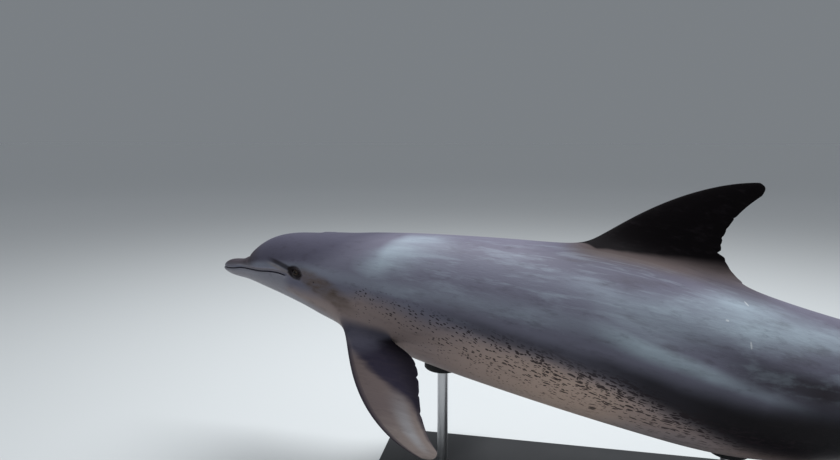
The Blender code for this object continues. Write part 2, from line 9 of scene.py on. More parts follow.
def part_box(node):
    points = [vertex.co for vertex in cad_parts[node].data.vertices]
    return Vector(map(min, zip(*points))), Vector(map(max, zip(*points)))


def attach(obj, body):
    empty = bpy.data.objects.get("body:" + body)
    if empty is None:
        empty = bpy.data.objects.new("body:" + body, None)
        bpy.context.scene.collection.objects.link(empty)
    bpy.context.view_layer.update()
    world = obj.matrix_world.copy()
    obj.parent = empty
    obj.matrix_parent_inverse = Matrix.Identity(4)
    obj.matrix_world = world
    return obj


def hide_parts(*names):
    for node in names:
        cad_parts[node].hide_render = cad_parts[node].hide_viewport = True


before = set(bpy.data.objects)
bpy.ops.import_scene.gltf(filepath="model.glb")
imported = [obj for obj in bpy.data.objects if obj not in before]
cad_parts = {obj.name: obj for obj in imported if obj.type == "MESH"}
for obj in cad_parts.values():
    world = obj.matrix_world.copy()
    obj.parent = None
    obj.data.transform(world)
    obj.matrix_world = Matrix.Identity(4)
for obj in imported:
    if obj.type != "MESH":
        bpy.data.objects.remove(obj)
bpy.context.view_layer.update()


# ---- The camera ----
# It stands beside the left flank, a little above the back, and looks slightly forward along the body, so that
# the head is small, the trunk near and the tail out of its view.

CAMERA_PLACE = (-0.1833, -1.4029, 0.9319)
CAMERA_TURN = 10.83  # degrees to the left of +Y
CAMERA_DIP = 9.18  # degrees below level
SENSOR_WIDTH, LENS = 36.0, 24.48  # millimetres

camera_data = bpy.data.cameras.new("camera")
camera_data.sensor_width = SENSOR_WIDTH
camera_data.lens = LENS
camera = bpy.data.objects.new("camera", camera_data)
camera.location = CAMERA_PLACE
camera.rotation_euler = (math.radians(90 - CAMERA_DIP), 0.0, math.radians(CAMERA_TURN))
bpy.context.scene.collection.objects.link(camera)
bpy.context.scene.camera = camera


# ---- The skin: its form ----
# The whole animal is one hollow cast in resin, smooth all over, with its fins cast on. Its straight form is a
# cage of quads laid round named body lines, with blades grown out for the fins and lids sunk in for the eyes,
# then rounded and swung into the pose. Sizes are shares of LENGTH unless a comment says metres.

LENGTH = 2.40  # metres from the tip of the jaws, station 0, to the notch of the flukes, station 1
BODY_PLACE = Vector((-0.048, -0.024, 0.47))
NOSE_UP, BANK = 10.4, 12.3  # degrees that the nose and the left side are turned up
MIDDLE = 0.45  # the station that sits at BODY_PLACE

# The body lines, as (station, height or half width): over, under and beside the middle line, the height of
# the widest part, how sharp the sections are there, and the height of the lips.
BACK_LINE = (
    (0.000, 0.0030), (0.012, 0.0078), (0.047, 0.0108), (0.062, 0.0245), (0.083, 0.0365), (0.110, 0.0432),
    (0.150, 0.0470), (0.200, 0.0540), (0.260, 0.0630), (0.320, 0.0705), (0.380, 0.0785), (0.450, 0.0850),
    (0.500, 0.0830), (0.600, 0.0730), (0.700, 0.0580), (0.800, 0.0450), (0.900, 0.0300), (0.955, 0.0160),
    (1.000, 0.0050),
)
BELLY_LINE = (
    (0.000, 0.0045), (0.012, 0.0110), (0.047, 0.0172), (0.080, 0.0245), (0.110, 0.0310), (0.150, 0.0405),
    (0.200, 0.0540), (0.260, 0.0655), (0.320, 0.0720), (0.400, 0.0770), (0.500, 0.0828), (0.600, 0.0885),
    (0.660, 0.0840), (0.700, 0.0775), (0.750, 0.0660), (0.800, 0.0535), (0.900, 0.0320), (0.955, 0.0160),
    (1.000, 0.0050),
)
SIDE_LINE = (
    (0.000, 0.0060), (0.012, 0.0125), (0.047, 0.0168), (0.062, 0.0212), (0.083, 0.0285), (0.110, 0.0355),
    (0.150, 0.0435), (0.200, 0.0530), (0.260, 0.0620), (0.320, 0.0690), (0.400, 0.0770), (0.450, 0.0810),
    (0.500, 0.0790), (0.600, 0.0680), (0.700, 0.0500), (0.800, 0.0315), (0.900, 0.0175), (0.955, 0.0120),
    (1.000, 0.0060),
)
BELT_LINE = (
    (0.00, -0.0010), (0.05, -0.0040), (0.15, -0.0060), (0.25, -0.0090), (0.45, -0.0040), (0.70, -0.0080),
    (0.90, -0.0010), (1.00, 0.0000),
)
RIDGE_LINE = (
    (0.00, 0.90), (0.05, 0.92), (0.15, 0.97), (0.45, 1.00), (0.60, 1.05), (0.75, 1.25), (0.88, 1.45),
    (0.95, 1.30), (1.00, 1.00),
)
MOUTH_LINE = (
    (0.000, -0.0012), (0.006, -0.0026), (0.014, -0.0040), (0.028, -0.0050), (0.045, -0.0041),
    (0.067, -0.0053), (0.089, -0.0063), (0.110, -0.0053), (0.122, -0.0055), (0.1325, -0.0070),
)
GAPE = 0.1325  # the station of the corner of the mouth

# The pose: the heading of the backbone, in degrees, to the right and upwards along the stations.
SWING = (
    (0.00, -25.3), (0.15, -16.4), (0.30, -8.0), (0.45, 0.0), (0.60, 4.5), (0.70, 5.5), (0.85, 6.0),
    (1.00, 6.0),
)
LIFT = (
    (0.00, 12.2), (0.15, 4.9), (0.30, 0.8), (0.45, 0.0), (0.60, 2.0), (0.70, 4.6), (0.85, 9.0),
    (1.00, 11.0),
)
BACKBONE_REACH, BACKBONE_STEPS = (-0.05, 1.05), 441  # the stations that its tables cover, and how finely

# The cage. A body ring has 2 * HALF_RING points and a head ring has twice as many.
HALF_RING = 8
HEAD_HALF_RING = 16
HEAD_CROWDING = 0.45  # how much closer than even the points are at the lips and the eye
FLIPPER_CROWDING = (0.10, 0.05)  # how far the steps draw together at a blade's root, and how far along
DORSAL_CROWDING = (0.12, 0.12)
HEAD_RADIUS = 0.105  # of the skin round the eyes, in metres
EYE_COLUMN = 0.00425  # the gap between two columns of the lids
EYE_STATION, EYE_ANGLE = 0.1514, 85.5  # the angle is in degrees from the back
SNOUT_STATIONS = (0.0, 0.010, 0.022, 0.034, 0.043, 0.052, 0.060, 0.068, 0.081, 0.096, 0.109, 0.121, GAPE)
NAPE_STATIONS = (0.168, 0.176)
CHEST_STATIONS = (0.318, 0.375)
TAIL_STATIONS = (0.670, 0.734, 0.800, 0.866)
FLIPPER_ROOT = (0.214, 0.266, 3)  # first station, last station, columns
DORSAL_ROOT = (0.430, 0.612, 4)
FLUKE_ROOT = (0.925, 1.000, 3)
FLIPPER_STEPS, FLUKE_STEPS, DORSAL_STEPS = (5, 6, 7), (3, 4, 5), (1, 0, -1)
BLADE_SPANS = (0.11, 0.34, 0.58, 0.80, 0.94, 1.0)
BLADE_CHORD = (0.05, 0.93)  # the first and the last column between the edges, in shares of the chord
TIP_BOW = 0.42  # how far a blade's tip bows out, in shares of its last chord, so that it ends round
THIN_EDGE = 0.0006  # half the least thickness of a blade
SUBDIVISIONS = 4

# The edges of the blades: curves with four control points, (along, out). A flipper's are (out, across) in
# shares of FLIPPER_LENGTH. A thickness is in shares of the chord, at the root and at the tip.
DORSAL_LEAD = ((0.430, 0.0810), (0.470, 0.1260), (0.5265, 0.1725), (0.5945, 0.1802))
DORSAL_TRAIL = ((0.612, 0.0715), (0.550, 0.0880), (0.556, 0.1285), (0.5985, 0.1665))
DORSAL_THICKNESS = (0.115, 0.100)
FLUKE_LEAD = ((0.925, 0.012), (0.940, 0.052), (0.966, 0.090), (1.003, 0.121))
FLUKE_TRAIL = ((1.000, 0.012), (1.016, 0.036), (0.990, 0.088), (1.008, 0.123))
FLUKE_THICKNESS = (0.135, 0.085)
FLIPPER_LENGTH = 0.150
FLIPPER_LEAD = ((-0.11, -0.100), (0.34, -0.215), (0.78, -0.240), (1.050, -0.015))
FLIPPER_TRAIL = ((0.16, 0.060), (0.42, 0.500), (0.58, 0.020), (1.050, 0.080))
FLIPPER_THICKNESS = (0.200, 0.110)
# Where the flippers point, on the left side, -1, and the right side, 1, and their twist in degrees.
FLIPPER_WAYS = {-1: Vector((0.649, -0.615, -0.447)), 1: Vector((0.620, 0.700, -0.350))}
FLIPPER_TWIST = 6.0

# The lids, from the crease round them inwards: half length, half height and height over the eyeball's
# surface in metres. The first two rings lie on the skin, at their height over it.
EYE_RADIUS, EYE_DEPTH = 0.0175, 0.0135
EYE_TILT = 20.0  # the rear corner of the lids lies this many degrees lower than the front one
LID_COLUMNS, LID_STEPS = 4, 2  # the block of faces that they take: columns, and steps each way from the eye
LID_SQUARENESS = 0.3  # how much fuller than an ellipse their outline is
LID_RINGS = (
    ("skin", 0.0200, 0.0152, -0.0004), ("skin", 0.0180, 0.0124, 0.0014), ("ball", 0.0160, 0.0092, 0.0026),
    ("ball", 0.0150, 0.0075, 0.0020), ("ball", 0.0145, 0.0068, 0.0004), ("ball", 0.0125, 0.0055, -0.0025),
)


def through(knots):
    """A smooth curve through (station, value) knots, as a function of the station."""
    at, value = np.array(knots, float).T
    steps = np.diff(value) / np.diff(at)
    slope = np.concatenate([steps[:1], (steps[1:] + steps[:-1]) / 2, steps[-1:]])

    def curve(s):
        i = np.clip(np.searchsorted(at, s) - 1, 0, len(at) - 2)
        width = at[i + 1] - at[i]
        t = (np.clip(s, at[0], at[-1]) - at[i]) / width
        start = (1 + 2 * t) * (1 - t) ** 2 * value[i] + t * (1 - t) ** 2 * width * slope[i]
        end = t * t * (3 - 2 * t) * value[i + 1] + t * t * (t - 1) * width * slope[i + 1]
        return start + end

    return curve


back, belly, side, belt, ridge = map(through, (BACK_LINE, BELLY_LINE, SIDE_LINE, BELT_LINE, RIDGE_LINE))
mouth = through(MOUTH_LINE)


def bezier(points, t):
    """The point at t, 0 to 1, of a cubic curve with these four control points."""
    a, b, c, d = (np.array(p, float) for p in points)
    return (1 - t) ** 3 * a + 3 * t * (1 - t) ** 2 * b + 3 * t * t * (1 - t) * c + t**3 * d


def swell(half_ring):
    """What a ring grows by to make up for what subdivision takes off it."""
    return 6 / (4 + 2 * math.cos(math.pi / half_ring))


def section_point(s, angle, size=1.0):
    """A point of the straight skin. The angle, in radians, is 0 on the back, pi on the belly, and negative
    on the right side."""
    level = belt(s)
    rise = back(s) - level if math.cos(angle) > 0 else belly(s) + level
    out = side(s) * abs(math.sin(angle)) ** ridge(s)
    return np.array((s, -math.copysign(out * size, math.sin(angle)), level + rise * size * math.cos(angle)))


class Cage:
    """The coarse faces of the straight animal. Each point also says which blade it is on and where:
    (share of the dorsal fin's span, of a flipper's, of a fluke's, share of the chord, face)."""

    def __init__(self):
        self.points = []
        self.places = []
        self.faces = []

    def add(self, point, place=(0, 0, 0, 0, 0)):
        self.points.append(np.array(point, float))
        self.places.append(place)
        return len(self.points) - 1

    def strip(self, first, second):
        """Quads between two rows of as many points."""
        for (a, b), (c, d) in zip(zip(first, first[1:]), zip(second, second[1:])):
            self.faces.append((a, b, d, c))

    def cap(self, ring):
        """Closes a ring with a strip of quads from its one half to its other."""
        half = len(ring) // 2
        left = ring[1:half]
        right = ring[:half:-1]
        self.strip(left, right)
        self.faces.append((ring[0], left[0], right[0]))
        self.faces.append((ring[half], right[-1], left[-1]))


def columns_of(root):
    return list(np.linspace(root[0], root[1], root[2] + 1))


def eye_columns():
    return [EYE_STATION + (k - LID_COLUMNS / 2) * EYE_COLUMN for k in range(LID_COLUMNS + 1)]


def near(s, middle, reach):
    """1 at a station and 0 far from it."""
    return math.exp(-(((s - middle) / reach) ** 2))


def mouth_angle(s):
    """The angle of the line of the lips at a station."""
    over = mouth(s) - belt(s)
    rise = back(s) - belt(s) if over > 0 else belly(s) + belt(s)
    return math.acos(over / rise)


def guide_angle(s):
    """The line that a head ring's points draw together at: the lips, then the middle of the eye."""
    eye = math.radians(EYE_ANGLE)
    if s <= GAPE:
        return mouth_angle(s)
    stations = (GAPE, eye_columns()[0], eye_columns()[-1], NAPE_STATIONS[-1])
    return float(np.interp(s, stations, (mouth_angle(GAPE), eye, eye, math.pi / 2)))


def head_angle(s, step):
    """The angle of a step, with half of them above the guide line and half below it."""
    guide = guide_angle(s)
    below = step > HEAD_HALF_RING / 2
    share = (HEAD_HALF_RING - step if below else step) / (HEAD_HALF_RING / 2)
    share += HEAD_CROWDING * share * (1 - share)
    return math.pi - (math.pi - guide) * share if below else guide * share


def ring_angle(s, step):
    """The steps are even, but draw together round the roots of the flippers and the dorsal fin."""
    angle = math.pi * step / HALF_RING
    flipper = FLIPPER_CROWDING[0] * near(s, sum(FLIPPER_ROOT[:2]) / 2, FLIPPER_CROWDING[1])
    dorsal = DORSAL_CROWDING[0] * near(s, sum(DORSAL_ROOT[:2]) / 2, DORSAL_CROWDING[1])
    return angle + flipper * math.sin(4 * angle) - dorsal * math.sin(2 * angle)


def ring(cage, s, half_ring, angle_of):
    angles = [angle_of(s, step) for step in range(half_ring + 1)]
    angles += [-a for a in angles[-2:0:-1]]
    return [cage.add(section_point(s, a, swell(half_ring))) for a in angles]


def first_column(along, start):
    return int(np.argmin(abs(np.array(along) - start)))


def half_thickness(u):
    """Half the thickness at share u of a blade's chord, for a blade as thick as its chord."""
    return 5 * (0.2969 * math.sqrt(u) - 0.1260 * u - 0.3516 * u**2 + 0.2843 * u**3 - 0.1036 * u**4)


def blade_ring(lead, trail, thickness, thin, columns, bow):
    """(span, chord, height, share of the chord) round one chord of a blade: the leading edge, the upper
    face from front to rear, the trailing edge and the lower face back."""
    chord = np.linalg.norm(trail - lead)
    upper = []
    for c in range(columns + 1):
        u = BLADE_CHORD[0] + (BLADE_CHORD[1] - BLADE_CHORD[0]) * c / columns
        span, across = lead + (trail - lead) * u + bow * math.sin(math.pi * u)
        upper.append((span, across, max(thickness * chord * half_thickness(u), thin), u))
    lower = [(span, across, -height, u) for span, across, height, u in reversed(upper)]
    return [(*lead, 0.0, 0.0)] + upper + [(*trail, 0.0, 1.0)] + lower


def grow_blade(cage, rim, edges, thickness, thin, columns, place, kind):
    """Joins a rim of skin points to the rings of a blade, one after another, and closes the tip."""
    before = rim
    for t in BLADE_SPANS:
        lead, trail = bezier(edges[0], t), bezier(edges[1], t)
        bow = np.zeros(2)
        if t == BLADE_SPANS[-1]:
            way = lead + trail - bezier(edges[0], BLADE_SPANS[-2]) - bezier(edges[1], BLADE_SPANS[-2])
            bow = way / np.linalg.norm(way) * np.linalg.norm(trail - lead) * TIP_BOW
        thick = thickness[0] + (thickness[1] - thickness[0]) * t
        made = []
        for span, across, height, u in blade_ring(lead, trail, thick, thin, columns, bow):
            where = [0.0, 0.0, 0.0, u, np.sign(height)]
            where[kind] = t
            made.append(cage.add(place(span, across, height), where))
        cage.strip(before + before[:1], made + made[:1])
        before = made
    cage.cap(before)


def rim_of(rings, start, columns, steps):
    """The corners round a block of the skin: its front edge's middle, over, its rear edge's and under."""
    upper, middle, lower = steps
    over = [rings[c][upper] for c in range(start, start + columns + 1)]
    under = [rings[c][lower] for c in range(start + columns, start - 1, -1)]
    return [rings[start][middle]] + over + [rings[start + columns][middle]] + under


def on_side(steps, hand):
    return steps if hand < 0 else tuple(-step for step in steps)


def dorsal_fin(cage, along, rings):
    rim = rim_of(rings, first_column(along, DORSAL_ROOT[0]), DORSAL_ROOT[2], DORSAL_STEPS)
    edges = (DORSAL_LEAD, DORSAL_TRAIL)
    grow_blade(cage, rim, edges, DORSAL_THICKNESS, THIN_EDGE, DORSAL_ROOT[2], lambda x, z, h: (x, -h, z), 0)


def flipper_axes(hand):
    """The (span, chord, upper face) directions of a flipper."""
    span = FLIPPER_WAYS[hand].normalized()
    chord = (Vector((1, 0, 0)) - span * span.x).normalized()
    face = chord.cross(span) * hand
    turn = Matrix.Rotation(math.radians(-FLIPPER_TWIST) * hand, 3, span)
    return span, turn @ chord, turn @ face


def flipper(cage, along, rings, hand):
    s = (FLIPPER_ROOT[0] + FLIPPER_ROOT[1]) / 2
    root = Vector(section_point(s, -hand * ring_angle(s, FLIPPER_STEPS[1])))
    span_way, chord_way, face_way = flipper_axes(hand)

    def place(span, across, height):
        return root + FLIPPER_LENGTH * (span_way * span + chord_way * across + face_way * height)

    rim = rim_of(rings, first_column(along, FLIPPER_ROOT[0]), FLIPPER_ROOT[2], on_side(FLIPPER_STEPS, hand))
    edges = (FLIPPER_LEAD, FLIPPER_TRAIL)
    grow_blade(cage, rim, edges, FLIPPER_THICKNESS, THIN_EDGE / FLIPPER_LENGTH, FLIPPER_ROOT[2], place, 1)


def fluke(cage, along, rings, hand):
    rim = rim_of(rings, first_column(along, FLUKE_ROOT[0]), FLUKE_ROOT[2], on_side(FLUKE_STEPS, hand))
    edges = (FLUKE_LEAD, FLUKE_TRAIL)
    columns = FLUKE_ROOT[2]
    grow_blade(cage, rim, edges, FLUKE_THICKNESS, THIN_EDGE, columns, lambda x, y, h: (x, hand * y, h), 2)


def eye_frame(hand):
    """The eyeball's centre, and the (forward, up, outward) directions of the skin over it."""
    angle = -hand * math.radians(EYE_ANGLE)
    skin = Vector(section_point(EYE_STATION, angle))
    inward = (Vector((EYE_STATION, 0.0, float(belt(EYE_STATION)))) - skin).normalized()
    fore, aft = (Vector(section_point(EYE_STATION + k * EYE_COLUMN, angle)) for k in (-1, 1))
    forward = (fore - aft).normalized()
    outward = -(inward - forward * inward.dot(forward)).normalized()
    up = outward.cross(forward)
    if up.z < 0:
        up = -up
    cos, sin = math.cos(math.radians(EYE_TILT)), math.sin(math.radians(EYE_TILT))
    return skin + inward * EYE_DEPTH / LENGTH, forward * cos + up * sin, up * cos - forward * sin, outward


def eyelids(cage, along, rings, hand):
    """Sinks a pocket with two lids into a block of the head, over the eyeball."""
    centre, forward, up, outward = eye_frame(hand)
    start = first_column(along, eye_columns()[0])
    corners = [(0, -k) for k in range(LID_STEPS + 1)] + [(c, -LID_STEPS) for c in range(1, LID_COLUMNS + 1)]
    corners += [(LID_COLUMNS, k) for k in range(1 - LID_STEPS, LID_STEPS + 1)]
    corners += [(c, LID_STEPS) for c in range(LID_COLUMNS - 1, -1, -1)]
    corners += [(0, k) for k in range(LID_STEPS - 1, 0, -1)]
    rim = [rings[start + c][-hand * (HEAD_HALF_RING // 2 + k)] for c, k in corners]
    before = rim
    for kind, half_length, half_height, height in LID_RINGS:
        made = []
        for k in range(len(rim)):
            turn = 2 * math.pi * k / len(rim)
            u = half_length * math.cos(turn)
            v = half_height * math.sin(turn) * abs(math.sin(turn)) ** LID_SQUARENESS
            if kind == "skin":
                rise = EYE_DEPTH - v * v / (2 * HEAD_RADIUS) + height
            else:
                rise = math.sqrt((EYE_RADIUS + height) ** 2 - u * u - v * v)
            made.append(cage.add(centre + (forward * u + up * v + outward * rise) / LENGTH))
        cage.strip(before + before[:1], made + made[:1])
        before = made
    cage.cap(before)


def block(start, columns, steps, half_ring):
    """The (column, step) of each face of the skin in a block and in its twin on the other side."""
    taken = set()
    for column in range(start, start + columns):
        for step in range(min(steps), max(steps)):
            taken.add((column, step % (2 * half_ring)))
            taken.add((column, (-1 - step) % (2 * half_ring)))
    return taken


def skin_cage():
    cage = Cage()
    head = list(SNOUT_STATIONS) + eye_columns() + list(NAPE_STATIONS)
    body = columns_of(FLIPPER_ROOT) + list(CHEST_STATIONS) + columns_of(DORSAL_ROOT)
    body += list(TAIL_STATIONS) + columns_of(FLUKE_ROOT)
    along = head + body
    rings = [ring(cage, s, HEAD_HALF_RING, head_angle) for s in head]
    rings += [ring(cage, s, HALF_RING, ring_angle) for s in body]
    middle = HEAD_HALF_RING // 2
    lid_steps = (middle - LID_STEPS, middle + LID_STEPS)
    taken = block(first_column(along, eye_columns()[0]), LID_COLUMNS, lid_steps, HEAD_HALF_RING)
    blades = ((FLIPPER_ROOT, FLIPPER_STEPS), (FLUKE_ROOT, FLUKE_STEPS), (DORSAL_ROOT, DORSAL_STEPS))
    for root, steps in blades:
        taken |= block(first_column(along, root[0]), root[2], steps, HALF_RING)
    for column, (first, second) in enumerate(zip(rings, rings[1:])):
        ratio = len(first) // len(second)  # 2 where the head's fine rings meet the body's
        for step in range(len(second)):
            if (column, step) not in taken:
                fine = [first[(step * ratio + k) % len(first)] for k in range(ratio + 1)]
                cage.faces.append((*fine, second[(step + 1) % len(second)], second[step]))
    cage.cap(rings[0])
    cage.cap(rings[-1])
    dorsal_fin(cage, along, rings)
    for hand in (-1, 1):
        flipper(cage, along, rings, hand)
        fluke(cage, along, rings, hand)
        eyelids(cage, along, rings, hand)
    return cage


def smooth_mesh(cage):
    """The cage in metres, rounded. Its places become float attributes."""
    mesh = bpy.data.meshes.new("skin_cage")
    mesh.from_pydata([tuple(p * LENGTH) for p in cage.points], [], cage.faces)
    for k, name in enumerate(("dorsal", "flipper", "fluke", "chord", "face")):
        values = mesh.attributes.new(name, "FLOAT", "POINT")
        values.data.foreach_set("value", [place[k] for place in cage.places])
    bm = bmesh.new()
    bm.from_mesh(mesh)
    bmesh.ops.delete(bm, geom=[v for v in bm.verts if not v.link_faces], context="VERTS")
    bmesh.ops.recalc_face_normals(bm, faces=bm.faces)
    bm.to_mesh(mesh)
    bm.free()
    made = bpy.data.objects.new("skin_cage", mesh)
    bpy.context.scene.collection.objects.link(made)
    rounding = made.modifiers.new("rounding", "SUBSURF")
    rounding.levels = SUBDIVISIONS
    rounding.render_levels = SUBDIVISIONS
    bpy.context.view_layer.update()
    result = bpy.data.meshes.new_from_object(made.evaluated_get(bpy.context.evaluated_depsgraph_get()))
    bpy.data.objects.remove(made)
    return result


def backbone():
    """Tables of the swung backbone: stations, places and headings, with MIDDLE at the origin."""
    s = np.linspace(*BACKBONE_REACH, BACKBONE_STEPS)
    swing = np.radians(through(SWING)(s))
    lift = np.radians(through(LIFT)(s))
    way = np.stack([np.cos(swing) * np.cos(lift), np.sin(swing) * np.cos(lift), np.sin(lift)], 1)
    steps = (way[1:] + way[:-1]) / 2 * np.diff(s)[:, None]
    place = np.vstack([np.zeros(3), np.cumsum(steps, 0)])
    place -= np.array([np.interp(MIDDLE, s, place[:, k]) for k in range(3)])
    return s, place, swing, lift


BACKBONE = backbone()
STANCE = Matrix.Rotation(math.radians(NOSE_UP), 4, "Y") @ Matrix.Rotation(math.radians(-BANK), 4, "X")


def pose(points):
    """Straight points, in metres, as points of the swung body in the world."""
    points = np.asarray(points, float).reshape(-1, 3) / LENGTH
    s, place, swing, lift = BACKBONE
    at = np.stack([np.interp(points[:, 0], s, place[:, k]) for k in range(3)], 1)
    a = np.interp(points[:, 0], s, swing)
    b = np.interp(points[:, 0], s, lift)
    aft = np.stack([np.cos(a) * np.cos(b), np.sin(a) * np.cos(b), np.sin(b)], 1)
    across = np.stack([-np.sin(a), np.cos(a), 0 * a], 1)
    posed = at + points[:, 1:2] * across + points[:, 2:3] * np.cross(aft, across)
    return posed * LENGTH @ np.array(STANCE.to_3x3()).T + np.array(BODY_PLACE)


# ---- The skin: its relief ----
# The groove and lips of the mouth, the crease behind the beak, the blowhole, the soft forms of the face and
# the flanks, and the navel and slits of the belly are part of the cast, and the fins' rear edges are worn.
# Heights, and reaches across the body, are in metres. Stations are still shares of LENGTH.

GROOVE_DEPTH, GROOVE_REACH = 0.0042, 0.0017
# The upper and the lower lip, as (height, how far over the groove, reach).
LIP_ROLLS = ((0.00130, 0.0062, 0.0040), (0.00104, -0.0066, 0.0042))
DIMPLE_DEPTH, DIMPLE_LENGTH, DIMPLE_WIDTH = 0.0030, 0.0060, 0.0045
OVERBITE = 0.0050
CREASE_DEPTH, CREASE_REACH = 0.0032, 0.0075
CREASE_STATIONS = (0.0505, 0.0125)  # where it lies on top, and how much further back at the sides
BLOWHOLE_STATION, BLOWHOLE_RADIUS = 0.1560, 0.0155
# The blowhole's slit, front lip and rim: (height, distance from its middle in shares of the radius, reach).
BLOWHOLE_SLIT = (-0.0065, 1.0, 0.0020)
BLOWHOLE_LIP = (0.0018, 0.6, 0.0060)
BLOWHOLE_RIM = (0.0012, 1.45, 0.0060)
EAR_PLACE = (0.062, -0.012)  # metres behind the eye and over it
# The soft forms of the face: (height, metres behind the eye, over the eye, reach along, reach up).
FACE_FORMS = (
    (0.0022, 0.000, 0.024, 0.034, 0.011),  # the brow
    (-0.0016, 0.000, -0.021, 0.030, 0.007),  # the bag under the eye
    (-0.0030, -0.036, -0.004, 0.022, 0.012),  # the hollow in front of it
    (0.0030, 0.045, -0.050, 0.050, 0.028),  # the cheek
    (-0.0022, *EAR_PLACE, 0.0018, 0.0018),  # the ear's pinhole
)
# Muscle bands: height, then the station and degrees of a point on the middle line, its slope in degrees to a
# station, the reach in degrees, and the stations over which the band rises and falls off.
FLANK_BANDS = (
    (0.0040, 0.474, 82, 165, 8.0, (0.40, 0.52), (0.86, 0.70)),
    (-0.0026, 0.474, 65, 165, 9.0, (0.44, 0.56), (0.84, 0.70)),
    (-0.0022, 0.150, 118, 90, 9.0, (0.150, 0.175), (0.215, 0.190)),  # the crease of the neck
)
# Slits along the belly: (height, distance from the midline, half width, first station, last station, fade).
BELLY_SLITS = (
    (-0.0075, 0.000, 0.0042, 0.654, 0.700, 0.008),  # the long slit of a female
    (0.0030, 0.012, 0.0080, 0.650, 0.704, 0.012),  # its lips
    (-0.0050, 0.036, 0.0042, 0.667, 0.683, 0.004),  # the short slits beside it
)
BELLY_DIMPLES = ((-0.0035, 0.475, 0.011, 0.007), (-0.0040, 0.7085, 0.007, 0.006))  # the navel and the vent


def smooth(x, low, high):
    """0 below low and 1 over high, with an even ease between them. low may be over high."""
    t = np.clip((x - low) / (high - low), 0, 1)
    return t * t * (3 - 2 * t)


def hump(x, reach):
    return np.exp(-((x / reach) ** 2))


def read(mesh, name):
    data = mesh.attributes[name].data
    values = np.zeros(len(data), np.float32)
    data.foreach_get("value", values)
    return values.astype(float)


def vectors(vertices, key):
    """A vector of every vertex, in rows."""
    values = np.zeros(len(vertices) * 3, np.float32)
    vertices.foreach_get(key, values)
    return values.astype(float).reshape(-1, 3)


def write(mesh, name, values):
    """Keeps one number or one vector for each vertex, for the materials to read."""
    kind = "FLOAT" if values.ndim == 1 else "FLOAT_VECTOR"
    if name not in mesh.attributes:
        mesh.attributes.new(name, kind, "POINT")
    key = "value" if values.ndim == 1 else "vector"
    mesh.attributes[name].data.foreach_set(key, values.astype(np.float32).ravel())


def mouth_relief(s, lips):
    """The closed mouth: a narrow groove that ends in a dimple, between two soft lips."""
    groove = -GROOVE_DEPTH * hump(lips, GROOVE_REACH) * smooth(s, GAPE + 0.0006, GAPE - 0.0030)
    rolls = sum(height * hump(lips - over, reach) for height, over, reach in LIP_ROLLS)
    rolls *= smooth(s, GAPE + 0.001, GAPE - 0.012) * smooth(s, 0.0, 0.012)
    corner = hump((s - GAPE - 0.0008) * LENGTH, DIMPLE_LENGTH) * hump(lips + 0.001, DIMPLE_WIDTH)
    return groove + rolls - DIMPLE_DEPTH * corner


def overbite(s, lips):
    """How far back the tip of the upper jaw stands from the tip of the lower one."""
    return OVERBITE * smooth(lips, -0.0010, 0.0035) * smooth(s, 0.022, 0.0)


def beak_relief(s, around, lips):
    """The crease between the beak and the forehead, deepest on top."""
    edge = CREASE_STATIONS[0] + CREASE_STATIONS[1] * (around / 90) ** 2
    crease = hump((s - edge) * LENGTH, CREASE_REACH)
    return -CREASE_DEPTH * crease * smooth(lips, 0.006, 0.022) * smooth(around, 110, 60)


def blowhole_relief(s, y, around):
    """A closed crescent slit across the top of the head, its horns to the front, with a plump front lip."""
    aft = (s - BLOWHOLE_STATION) * LENGTH
    turn = np.degrees(np.arctan2(abs(y), aft))

    def round_form(height, share, reach):
        return height * hump(np.hypot(aft, y) - share * BLOWHOLE_RADIUS, reach)

    slit = round_form(*BLOWHOLE_SLIT) * smooth(turn, 96, 76)
    rim = round_form(*BLOWHOLE_RIM) * smooth(turn, 120, 80)
    return (slit + round_form(*BLOWHOLE_LIP) + rim) * (around < 60)


def head_relief(s, around):
    """The soft forms of the face."""
    aft = (s - EYE_STATION) * LENGTH
    over = (EYE_ANGLE - around) * math.radians(HEAD_RADIUS)
    return sum(height * hump(aft - x, long) * hump(over - z, tall) for height, x, z, long, tall in FACE_FORMS)


def flank_relief(s, around):
    """Long shallow muscle bands along the flank and over the tail stock, and the crease of the neck."""
    total = 0.0
    for height, station, angle, slope, reach, rise, fall in FLANK_BANDS:
        line = angle + slope * (s - station)
        total = total + height * hump(around - line, reach) * smooth(s, *rise) * smooth(s, *fall)
    return total


def belly_relief(s, y, around):
    """The slits, the navel and the vent, on the underside only."""
    total = 0.0
    for height, aside, width, first, last, fade in BELLY_SLITS:
        along = smooth(s, first, first + fade) * smooth(s, last, last - fade)
        total = total + height * hump(abs(y) - aside, width) * along
    for height, station, length, width in BELLY_DIMPLES:
        total = total + height * hump((s - station) * LENGTH, length) * hump(y, width)
    return total * (around > 120)


# Bites out of trailing edges: (share of the span, depth in metres, reach in shares of the span).
DORSAL_BITES = (
    (0.110, -0.0060, 0.050), (0.200, -0.0060, 0.060), (0.300, -0.0060, 0.055), (0.370, -0.0050, 0.025),
    (0.415, 0.0100, 0.018), (0.500, 0.0020, 0.014), (0.574, 0.0036, 0.015), (0.660, 0.0020, 0.016),
    (0.775, 0.0030, 0.012),
)
FLIPPER_BITES = ((0.40, 0.0020, 0.015), (0.52, 0.0045, 0.016), (0.66, 0.0022, 0.012), (0.80, 0.0026, 0.014))
FLUKE_BITES = ((0.30, 0.0040, 0.020), (0.47, 0.0022, 0.012), (0.63, 0.0055, 0.018), (0.81, 0.0026, 0.013))
WORN_CHORD, WORN_SPAN = (0.80, 1.00), (0.00, 0.14)  # where the wear sets in, across and out along a blade


